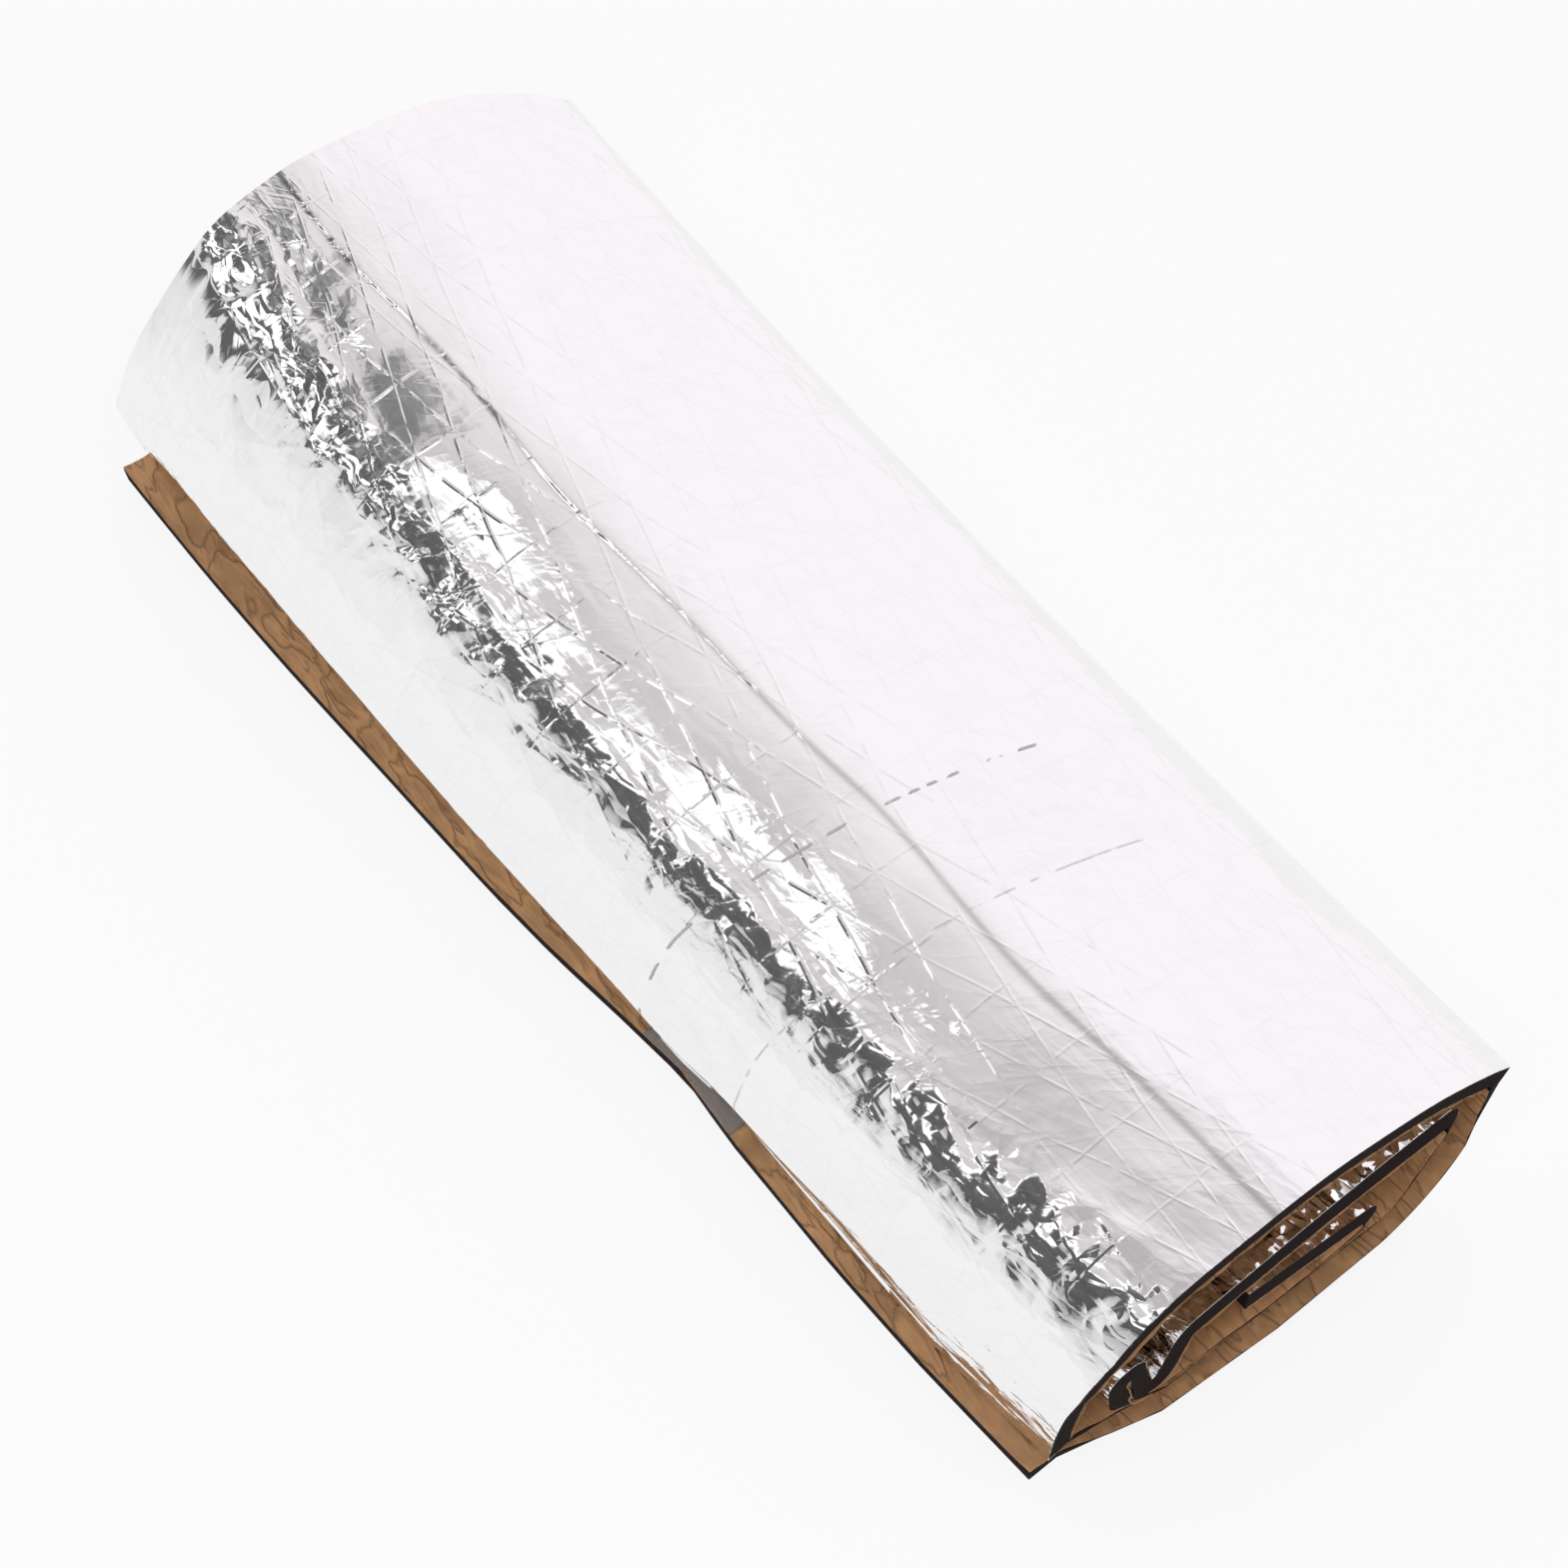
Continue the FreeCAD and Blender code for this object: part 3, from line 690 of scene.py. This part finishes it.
def make_tape(winding):
    """The clear tape: a strip over the crown, down the flank and onto the tail, a little above them."""
    sizes = winding.sizes
    first, last = winding.rows_of("crown", "heel")
    rows = np.arange(first, last)
    middle = winding.points[1][rows]
    keep = rows[middle[:, 0] < sizes.tape_end]
    around = winding.around[keep]
    share = (around - around[0]) / (around[-1] - around[0])
    centre = sizes.tape_top + (sizes.tape_foot - sizes.tape_top) * share
    across = np.linspace(-0.5, 0.5, TAPE_COLUMNS) * sizes.tape_width
    x = centre[:, None] + across[None, :]
    height, _ = crumple(winding, keep, x)
    top = winding.place(keep, x, 0.0, height + TAPE_LIFT)
    tail_edge = winding.place(np.array([0]), x[-1][None, :], thickness(sizes))[0][:, 1]
    steps = np.linspace(0, 1, TAPE_TAIL_ROWS + 1)[1:, None, None]
    end = np.stack([x[-1], tail_edge, 0 * x[-1] + thickness(sizes) + TAPE_TAIL_LIFT], 1)
    start = top[-1].copy()
    start[:, 2] = end[:, 2]
    tail = start[None] * (1 - steps) + end[None] * steps
    top = np.concatenate([top, tail])
    count, width = top.shape[:2]
    along = np.concatenate([TAPE_OFF * (share - share[0]), TAPE_OFF + 0.01 * steps[:, 0, 0]])
    ids = np.arange(count * width).reshape(count, width)
    piece = make_mesh("tape_film", top.reshape(-1, 3), [grid_faces(ids)], flat_map(across, along), 180.0)
    thick = piece.modifiers.new("thickness", "SOLIDIFY")
    thick.thickness = TAPE_THICKNESS
    thick.offset = 1.0
    return piece


# ---- materials ----

def add_node(tree, kind, inputs=(), **settings):
    """A shader node; an input is a number, a colour or another node's output."""
    node = tree.nodes.new(kind)
    for name, value in settings.items():
        setattr(node, name, value)
    for key, value in inputs.items() if isinstance(inputs, dict) else enumerate(inputs):
        if isinstance(value, bpy.types.NodeSocket):
            tree.links.new(value, node.inputs[key])
        else:
            node.inputs[key].default_value = value
    return node


def calc(tree, operation, *values, clamp=False):
    """A math node; a sum, product or maximum of more values is a chain of nodes."""
    if len(values) > 2:
        values = (calc(tree, operation, *values[:-1]), values[-1])
    return add_node(tree, "ShaderNodeMath", values, operation=operation, use_clamp=clamp).outputs[0]


def ramp(tree, value, stops):
    node = add_node(tree, "ShaderNodeValToRGB", [value])
    elements = node.color_ramp.elements
    while len(elements) < len(stops):
        elements.new(1.0)
    for element, (place, shade) in zip(elements, stops):
        element.position = place
        rgb = (shade,) * 3 if isinstance(shade, (int, float)) else shade
        element.color = (*rgb, 1.0)
    return node.outputs[0]


def mix_colour(tree, factor, one, two):
    one, two = (value if isinstance(value, bpy.types.NodeSocket) else (*value, 1.0) for value in (one, two))
    return add_node(tree, "ShaderNodeMix", {0: factor, 6: one, 7: two}, data_type="RGBA").outputs[2]


def darker(shade, share):
    return tuple(share * channel for channel in shade)


def noise(tree, vector, scale, detail, **inputs):
    inputs = {"Vector": vector, "Scale": scale, "Detail": detail, **inputs}
    return add_node(tree, "ShaderNodeTexNoise", inputs).outputs[0]


def bump(tree, height, strength=1.0):
    return add_node(tree, "ShaderNodeBump",
                    {"Height": height, "Distance": 1.0, "Strength": strength}).outputs[0]


def new_group(name, inputs, output):
    """A node group that puts out a number; an input without a start value is a vector."""
    group = bpy.data.node_groups.new(name, "ShaderNodeTree")
    for label, value in inputs.items():
        kind = "NodeSocketVector" if value is None else "NodeSocketFloat"
        socket = group.interface.new_socket(label, in_out="INPUT", socket_type=kind)
        if value is not None:
            socket.default_value = value
    group.interface.new_socket(output, in_out="OUTPUT", socket_type="NodeSocketFloat")
    return group, group.nodes.new("NodeGroupInput").outputs, group.nodes.new("NodeGroupOutput")


def thread_lines():
    """One family of parallel threads: a narrow ridge wherever the slanted coordinate is near a whole
    number, broken up by noise so that it comes and goes."""
    group, start, end = new_group("thread_lines", {
        "Flat": None, "Angle Sine": 0.27, "Angle Cosine": 0.96, "Pitch": 0.016, "Width": 0.0008,
        "Broken": 0.5}, "Ridge")
    flat, sine, cosine, pitch, width, broken = start[:6]
    warp = noise(group, flat, 22.0, 1.0)
    place = add_node(group, "ShaderNodeSeparateXYZ", [flat]).outputs
    across = calc(group, "ADD", calc(group, "MULTIPLY", place[0], sine),
                  calc(group, "MULTIPLY", place[1], cosine), calc(group, "MULTIPLY", warp, 0.004))
    turns = calc(group, "DIVIDE", across, pitch)
    off = calc(group, "ABSOLUTE", calc(group, "SUBTRACT", calc(group, "FRACT", turns), 0.5))
    off = calc(group, "MULTIPLY", off, pitch)
    ridge = calc(group, "SUBTRACT", 1.0, calc(group, "DIVIDE", off, width), clamp=True)
    dashes = noise(group, flat, 120.0, 2.0)
    seen = calc(group, "SUBTRACT", dashes, calc(group, "MULTIPLY", broken, 0.6))
    seen = calc(group, "MULTIPLY", seen, 5.0, clamp=True)
    group.links.new(calc(group, "MULTIPLY", ridge, seen), end.inputs[0])
    return group


def wrinkle_field():
    """Fine wrinkles: noise drawn out along one direction, its crests kept sharp."""
    group, start, end = new_group(
        "wrinkle_field", {"Flat": None, "Angle": 0.3, "Scale": 120.0, "Stretch": 0.25}, "Height")
    turned = add_node(group, "ShaderNodeVectorRotate", {"Vector": start[0], "Angle": start[1]},
                      rotation_type="Z_AXIS").outputs[0]
    size = add_node(group, "ShaderNodeCombineXYZ", [start[3], 1.0, 1.0]).outputs[0]
    drawn = add_node(group, "ShaderNodeVectorMath", [turned, size], operation="MULTIPLY").outputs[0]
    field = noise(group, drawn, start[2], 3.0, Roughness=0.55, Distortion=0.4)
    crest = calc(group, "ABSOLUTE", calc(group, "SUBTRACT", field, 0.5))
    sharp = calc(group, "SQRT", calc(group, "MULTIPLY", crest, 0.5))
    group.links.new(calc(group, "SUBTRACT", 0.5, sharp), end.inputs[0])
    return group


def placed_group(tree, builder, inputs):
    """A node of a shared group, which is built the first time that it is needed."""
    group = bpy.data.node_groups.get(builder.__name__) or builder()
    return add_node(tree, "ShaderNodeGroup", inputs, node_tree=group).outputs[0]


def wrinkles(tree, flat, angle, scale, stretch):
    return placed_group(tree, wrinkle_field,
                        {"Flat": flat, "Angle": angle, "Scale": scale, "Stretch": stretch})


def cleared_tree(owner):
    owner.use_nodes = True
    owner.node_tree.nodes.clear()
    return owner.node_tree


def new_material(name):
    material = bpy.data.materials.new(name)
    tree = cleared_tree(material)
    shader = tree.nodes.new("ShaderNodeBsdfPrincipled")
    add_node(tree, "ShaderNodeOutputMaterial", [shader.outputs[0]])
    flat = add_node(tree, "ShaderNodeUVMap", uv_map="flat_mat").outputs[0]
    return material, tree, shader, flat


def feed(tree, shader, **outputs):
    """Links outputs to inputs of the shader; an underscore stands for a space."""
    for name, output in outputs.items():
        tree.links.new(output, shader.inputs[name.replace("_", " ")])


# Families of the foil's scrim: degrees from the roll's axis, the size that gives the pitch, how broken.
SCRIM = [(15.5, "scrim_pitch", 0.58), (-15.5, "scrim_pitch", 0.58), (90.0, "hoop_pitch", 0.66)]
THREAD_WIDTH = 0.0008
CREASE_STEP = 0.2 * MM
CREASE_WIDTH = 1.2 * MM


def foil_material(sizes):
    """Mirror metal with the scrim's threads, facets where it is crumpled, and painted shade in the base
    colour: the long crease's shadow and dark lines along the threads and the fine wrinkles.
    """
    material, tree, shader, flat = new_material("mirror_foil")
    shader.inputs["Metallic"].default_value = 1.0
    mask, off = (add_node(tree, "ShaderNodeAttribute", attribute_name=name).outputs["Fac"]
                 for name in ("crumpled", "beside_crease"))
    threads = [placed_group(tree, thread_lines, {
        "Flat": flat, "Angle Sine": math.sin(math.radians(angle)),
        "Angle Cosine": math.cos(math.radians(angle)), "Pitch": getattr(sizes, pitch),
        "Width": THREAD_WIDTH, "Broken": broken}) for angle, pitch, broken in SCRIM]
    ridge = calc(tree, "MAXIMUM", *threads)
    patches = ramp(tree, noise(tree, flat, 14.0, 2.0), [(0.42, 0.0), (0.66, 1.0)])
    drawn = add_node(tree, "ShaderNodeMapping", {"Vector": flat, "Scale": (0.33, 1.0, 1.0)}).outputs[0]
    warp = add_node(tree, "ShaderNodeTexNoise",
                    {"Vector": flat, "Scale": 60.0, "Detail": 2.0}).outputs["Color"]
    drawn = add_node(tree, "ShaderNodeVectorMath", [warp, (0.008,) * 3, drawn],
                     operation="MULTIPLY_ADD").outputs[0]
    large, small = (
        add_node(tree, "ShaderNodeTexVoronoi", {"Vector": drawn, "Scale": scale, "Randomness": 1.0},
                 feature="F1", distance="MANHATTAN").outputs["Distance"] for scale in (75.0, 190.0))
    strength = calc(tree, "ADD", calc(tree, "MULTIPLY", mask, 0.9), calc(tree, "MULTIPLY", patches, 0.12))
    fine = wrinkles(tree, flat, 0.35, 90.0, 0.3)
    facets = [calc(tree, "MULTIPLY", field, amount, strength)
              for field, amount in ((fine, 0.00016), (large, 0.0010), (small, 0.00042))]
    off = calc(tree, "DIVIDE", off, CREASE_WIDTH)
    crease = calc(tree, "MULTIPLY", calc(tree, "TANH", off), -CREASE_STEP)
    short = wrinkles(tree, flat, 0.95, 70.0, 0.35)
    spread = ramp(tree, patches, [(0.0, 0.25), (1.0, 1.0)])
    height = calc(tree, "ADD", calc(tree, "MULTIPLY", ridge, 0.00006), *facets, crease,
                  calc(tree, "MULTIPLY", short, 0.0002, spread))
    rough = noise(tree, flat, 45.0, 4.0)
    # Painted shade in the base colour: the crease's shadow, and dark lines along the scrim's threads and the
    # crests of the short wrinkles.
    shadow = calc(tree, "MULTIPLY", calc(tree, "POWER", 0.37, calc(tree, "POWER", off, 2.0)), 0.34)
    painted_line_shade = calc(tree, "ADD", calc(tree, "MULTIPLY", ridge, 0.09),
                 ramp(tree, short, [(0.36, 0.0), (0.48, 0.06)]))
    tint = mix_colour(tree, rough, darker(sizes.foil_colour, 0.985), sizes.foil_colour)
    tint = mix_colour(tree, calc(tree, "MAXIMUM", painted_line_shade, shadow), tint, darker(sizes.foil_colour, 0.6))
    feed(tree, shader, Base_Color=tint, Roughness=ramp(tree, rough, [(0.3, 0.035), (0.7, 0.09)]),
         Normal=bump(tree, height))
    return material


def foam_material(sizes):
    """Matt black foam with fine cells."""
    material, tree, shader, _ = new_material("black_foam")
    shader.inputs["Specular IOR Level"].default_value = 0.03
    place = add_node(tree, "ShaderNodeTexCoord").outputs["Object"]
    cells = add_node(tree, "ShaderNodeTexVoronoi", {"Vector": place, "Scale": 2600.0}).outputs["Distance"]
    grain = noise(tree, place, 700.0, 3.0)
    height = calc(tree, "ADD", calc(tree, "MULTIPLY", cells, 0.0002), calc(tree, "MULTIPLY", grain, 0.0002))
    feed(tree, shader, Base_Color=mix_colour(tree, grain, darker(sizes.foam_colour, 0.6),
                                             darker(sizes.foam_colour, 1.7)),
         Roughness=ramp(tree, grain, [(0.3, 0.75), (0.7, 0.92)]), Normal=bump(tree, height, 0.8))
    return material


def liner_material(sizes):
    """Brown paper with fibres, clouds of darker and lighter tone, and folds that run along the roll with
    painted shade darkening their creases.
    """
    material, tree, shader, flat = new_material("kraft_liner")
    drawn = add_node(tree, "ShaderNodeMapping", {"Vector": flat, "Scale": (60.0, 900.0, 1.0)}).outputs[0]
    fibres = noise(tree, drawn, 1.0, 4.0, Roughness=0.65)
    clouds = ramp(tree, noise(tree, flat, 60.0, 3.0), [(0.32, 0.0), (0.68, 1.0)])
    base = sizes.kraft_colour
    shade = mix_colour(tree, clouds, darker(base, 0.72), darker(base, 1.18))
    shade = mix_colour(tree, calc(tree, "MULTIPLY", fibres, 0.35), shade, darker(base, 0.8))
    fold = wrinkles(tree, flat, 0.1, 90.0, 0.3)
    # Painted shade: the creases of the folds are darkened in the paper's colour.
    painted_crease_shade = ramp(tree, fold, [(0.12, 0.0), (0.2, 0.25), (0.36, 0.0), (0.46, 0.5)])
    height = calc(tree, "ADD", calc(tree, "MULTIPLY", fold, 0.0034), calc(tree, "MULTIPLY", fibres, 0.00005))
    feed(tree, shader, Base_Color=mix_colour(tree, painted_crease_shade, shade, darker(base, 0.3)),
         Roughness=ramp(tree, fibres, [(0.3, 0.5), (0.7, 0.72)]), Normal=bump(tree, height))
    return material


TAPE_FAR_EDGE, TAPE_NEAR_EDGE = 0.0008, 0.0006  # widths of the painted highlight and shade lines along the tape's edges


def tape_material(sizes):
    """Clear film: nearly unseen on the foil but for its edges, which carry painted highlight and shade as
    grey and white dashes, and a grey haze over the paper.
    """
    material, tree, shader, flat = new_material("clear_tape")
    shader.inputs["Roughness"].default_value = 0.12
    across, along = add_node(tree, "ShaderNodeSeparateXYZ", [flat]).outputs[:2]
    half = sizes.tape_width / 2
    # Painted highlight and shade: dashed grey and white lines along the tape's edges, the far edge strong
    # and the near edge faint.
    far_edge = calc(tree, "LESS_THAN", across, TAPE_FAR_EDGE - half)
    near_edge = calc(tree, "GREATER_THAN", across, half - TAPE_NEAR_EDGE)
    edge = calc(tree, "ADD", far_edge, calc(tree, "MULTIPLY", near_edge, 0.3))
    dashes = noise(tree, flat, 150.0, 1.0)
    edge = calc(tree, "MULTIPLY", edge, ramp(tree, dashes, [(0.48, 0.0), (0.56, 0.75)]))
    paper = ramp(tree, along, [(TAPE_OFF - 0.002, 0.0), (TAPE_OFF, 1.0)])
    haze = noise(tree, flat, 80.0, 3.0)
    on_paper = mix_colour(tree, haze, darker(sizes.tape_colour, 0.8), sizes.tape_colour)
    edge_glint_and_shade = mix_colour(tree, dashes, (0.45, 0.43, 0.43), (0.8, 0.79, 0.8))
    clear = calc(tree, "ADD", ramp(tree, haze, [(0.4, 0.0), (0.7, 0.012)]),
                 calc(tree, "MULTIPLY", paper, 0.62))
    fold = wrinkles(tree, flat, 0.0, 90.0, 0.5)
    feed(tree, shader, Base_Color=mix_colour(tree, paper, edge_glint_and_shade, on_paper),
         Alpha=calc(tree, "MAXIMUM", clear, edge), Normal=bump(tree, calc(tree, "MULTIPLY", fold, 0.0005)))
    return material


# ---- stage ----

# What the surroundings show the foil: brightness by the angle round the roll, in degrees from +Y
# through the zenith, for the near part and for directions that slant far towards the far end.
PALE = (1.02, 0.985, 1.015)
SOFT = (0.93, 0.895, 0.915)
GREY = (0.84, 0.805, 0.81)
NEAR_BANDS = [(0, PALE), (54, PALE), (64, SOFT), (71, GREY), (77, (0.78, 0.75, 0.755)),
              (83, (0.62, 0.595, 0.60)), (84.5, 1.3), (89.5, 1.3), (91, 0.14), (115, 0.10), (120, 0.5),
              (129, 0.75), (140, 0.9), (180, (0.93, 0.915, 0.92))]
FAR_BANDS = [(0, PALE), (54, PALE), (62, SOFT), (68, GREY), (71.5, 0.3), (80, 0.12), (87, 0.14), (91, 1.3),
             (101, 1.3), (104, 0.14), (112, 0.12), (117, 0.8), (136, 0.93), (180, (0.95, 0.93, 0.94))]
# Where the surroundings of the near end are darker, by the same angle, and their shade.
NEAR_SHADE = [(58, 0.0), (76, 1.0), (94, 1.0), (102, 0.0)]
NEAR_SHADE_COLOUR = (0.32, 0.3, 0.305)
# How far the bands turn with the slant along the roll: minus x of the direction, degrees.
BAND_TURNS = [(0.1, 33), (0.2, 29), (0.28, 17), (0.34, 1), (0.44, 0), (0.52, 8), (0.56, 18), (0.60, 26),
              (0.70, 36)]
FULL_TURN = 60.0
TURN_START, TURN_SPAN = 58.0, 50.0  # the turn grows over these angles


def band_ramp(tree, share, bands):
    """A ramp over half a turn from places in degrees; share is the angle over half a turn."""
    return ramp(tree, share, [(place / 180, shade) for place, shade in bands])


def make_world():
    """White surroundings with dark and bright bands along the roll, which the foil mirrors."""
    world = bpy.data.worlds.new("studio")
    bpy.context.scene.world = world
    tree = cleared_tree(world)
    way = add_node(tree, "ShaderNodeTexCoord").outputs["Generated"]
    way = add_node(tree, "ShaderNodeSeparateXYZ", [way]).outputs
    angle = calc(tree, "MULTIPLY", calc(tree, "ARCTAN2", way[2], way[1]), 180 / math.pi)
    lean = calc(tree, "MULTIPLY", way[0], -1.0)
    shift = ramp(tree, lean, [(place, turn / FULL_TURN) for place, turn in BAND_TURNS])
    grow = calc(tree, "DIVIDE", calc(tree, "SUBTRACT", angle, TURN_START), TURN_SPAN, clamp=True)
    shaded = band_ramp(tree, calc(tree, "DIVIDE", angle, 180.0, clamp=True), NEAR_SHADE)
    shaded = calc(tree, "MULTIPLY", shaded, ramp(tree, lean, [(0.2, 0.62), (0.36, 0.0)]))
    angle = calc(tree, "SUBTRACT", angle, calc(tree, "MULTIPLY", shift, FULL_TURN, grow))
    share = calc(tree, "DIVIDE", angle, 180.0, clamp=True)
    near, far = (band_ramp(tree, share, bands) for bands in (NEAR_BANDS, FAR_BANDS))
    mixed = mix_colour(tree, ramp(tree, lean, [(0.525, 0.0), (0.56, 1.0)]), near, far)
    mixed = mix_colour(tree, shaded, mixed, NEAR_SHADE_COLOUR)
    lit = add_node(tree, "ShaderNodeBackground", [mixed, 1.0])
    seen = add_node(tree, "ShaderNodeBackground", [(1.0, 1.0, 1.0, 1.0), 1.0])
    camera_ray = add_node(tree, "ShaderNodeLightPath").outputs["Is Camera Ray"]
    choice = add_node(tree, "ShaderNodeMixShader", [camera_ray, lit.outputs[0], seen.outputs[0]])
    add_node(tree, "ShaderNodeOutputWorld", [choice.outputs[0]])


FLOOR_REACH = 6.0
FLOOR_DROP = 0.2 * MM  # keeps the floor clear of the roll's underside
FLOOR_GLOW = 0.86


def make_floor():
    """A wide white floor: it keeps a soft shadow and is seen as white in metal."""
    mesh = bpy.data.meshes.new("floor")
    corners = [(-1, -1), (1, -1), (1, 1), (-1, 1)]
    mesh.from_pydata([(x * FLOOR_REACH, y * FLOOR_REACH, 0) for x, y in corners], [], [(0, 1, 2, 3)])
    floor = bpy.data.objects.new("floor", mesh)
    bpy.context.scene.collection.objects.link(floor)
    floor.location.z = -FLOOR_DROP
    material = bpy.data.materials.new("white_floor")
    tree = cleared_tree(material)
    matt = add_node(tree, "ShaderNodeBsdfDiffuse", [(0.9, 0.9, 0.9, 1.0)])
    glow = add_node(tree, "ShaderNodeEmission", [(1.0, 1.0, 1.0, 1.0), 1.0])
    rays = add_node(tree, "ShaderNodeLightPath").outputs
    seen = calc(tree, "MAXIMUM", rays["Is Camera Ray"],
                calc(tree, "MAXIMUM", rays["Is Glossy Ray"], rays["Is Transmission Ray"]))
    mixed = add_node(tree, "ShaderNodeMixShader",
                     [calc(tree, "MULTIPLY", seen, FLOOR_GLOW), matt.outputs[0], glow.outputs[0]])
    add_node(tree, "ShaderNodeOutputMaterial", [mixed.outputs[0]])
    mesh.materials.append(material)


def make_camera():
    """The photo's camera: its direction, roll, target and distance are fitted to the roll's corners."""
    azimuth, elevation, roll = math.radians(50.73), math.radians(56.45), math.radians(-0.31)
    target, distance = Vector((0.02936, -0.0144, 0.045)), 1.0112
    back = Vector((math.sin(azimuth) * math.cos(elevation), -math.cos(azimuth) * math.cos(elevation),
                   math.sin(elevation)))
    right = Vector((math.cos(azimuth), math.sin(azimuth), 0.0))
    up = back.cross(right)
    turned_right = right * math.cos(roll) + up * math.sin(roll)
    turned_up = up * math.cos(roll) - right * math.sin(roll)
    data = bpy.data.cameras.new("camera")
    data.sensor_fit = "HORIZONTAL"
    data.sensor_width = 36.0
    data.lens = 72.07
    data.clip_start = 0.01
    data.clip_end = 100.0
    camera = bpy.data.objects.new("camera", data)
    turn = Matrix((turned_right, turned_up, back)).transposed().to_4x4()
    camera.matrix_world = Matrix.Translation(target + back * distance) @ turn
    bpy.context.scene.collection.objects.link(camera)
    bpy.context.scene.camera = camera


def make_lamp():
    """One broad soft lamp over the roll's left side; it shades matt surfaces and isn't seen in the foil."""
    data = bpy.data.lights.new("soft_lamp", "AREA")
    data.shape = "DISK"
    data.size = 1.2
    data.energy = 7.0
    lamp = bpy.data.objects.new("soft_lamp", data)
    lamp.location = (0.5, -0.9, 1.6)
    lamp.rotation_euler = (Vector(lamp.location)).to_track_quat("Z", "Y").to_euler()
    lamp.visible_glossy = False
    lamp.visible_camera = False
    bpy.context.scene.collection.objects.link(lamp)


# ---- operators ----

def build(context, make, paint, node, fineness=1):
    """One piece with its material, in place of a node of the CAD."""
    sizes = context.scene.roll_sizes
    piece = make(Winding(sizes, fineness))
    piece.data.materials.append(paint(sizes))
    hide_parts(node)
    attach(piece, "root")
    return piece


class ROLL_OT_foam(Operator):
    """Build the black foam of the mat"""

    bl_idname = "roll.foam"
    bl_label = "Foam"

    def execute(self, context):
        foam = build(context, make_foam, foam_material, "foam_sheet")
        return {"FINISHED"}


class ROLL_OT_foil(Operator):
    """Build the crumpled foil facing with its scrim"""

    bl_idname = "roll.foil"
    bl_label = "Foil Facing"

    def execute(self, context):
        build(context, make_foil, foil_material, "foil_facing")
        return {"FINISHED"}


class ROLL_OT_liner(Operator):
    """Build the kraft release liner with its loose, pleated edges"""

    bl_idname = "roll.liner"
    bl_label = "Release Liner"

    def execute(self, context):
        build(context, make_liner, liner_material, "release_liner", fineness=2)
        return {"FINISHED"}


class ROLL_OT_tape(Operator):
    """Build the clear tape that holds the outer turn to the tail"""

    bl_idname = "roll.tape"
    bl_label = "Clear Tape"

    def execute(self, context):
        build(context, make_tape, tape_material, "tape_strip")
        return {"FINISHED"}


class ROLL_OT_stage(Operator):
    """Set up the floor, the white surroundings, the lamp and the camera"""

    bl_idname = "roll.stage"
    bl_label = "Stage"

    def execute(self, context):
        context.scene.view_settings.view_transform = "Standard"
        make_world()
        make_floor()
        make_lamp()
        make_camera()
        return {"FINISHED"}


class ROLL_PT_panel(Panel):
    """The pieces of the roll, in the order in which they are built"""

    bl_idname = "ROLL_PT_panel"
    bl_label = "Rolled Foil Mat"
    bl_space_type = "VIEW_3D"
    bl_region_type = "UI"
    bl_category = "Roll"

    def draw(self, context):
        for name in STEPS:
            self.layout.operator("roll." + name)


STEPS = ["foam", "foil", "liner", "tape", "stage"]
CLASSES = [MiddleSection, NearSection, RollSizes, ROLL_OT_foam, ROLL_OT_foil, ROLL_OT_liner,
           ROLL_OT_tape, ROLL_OT_stage, ROLL_PT_panel]


def register():
    for item in CLASSES:
        bpy.utils.register_class(item)
    bpy.types.Scene.roll_sizes = PointerProperty(type=RollSizes)


def unregister():
    del bpy.types.Scene.roll_sizes
    for item in reversed(CLASSES):
        bpy.utils.unregister_class(item)


def main():
    register()
    for name in STEPS:
        getattr(bpy.ops.roll, name)()


if __name__ == "__main__":
    main()
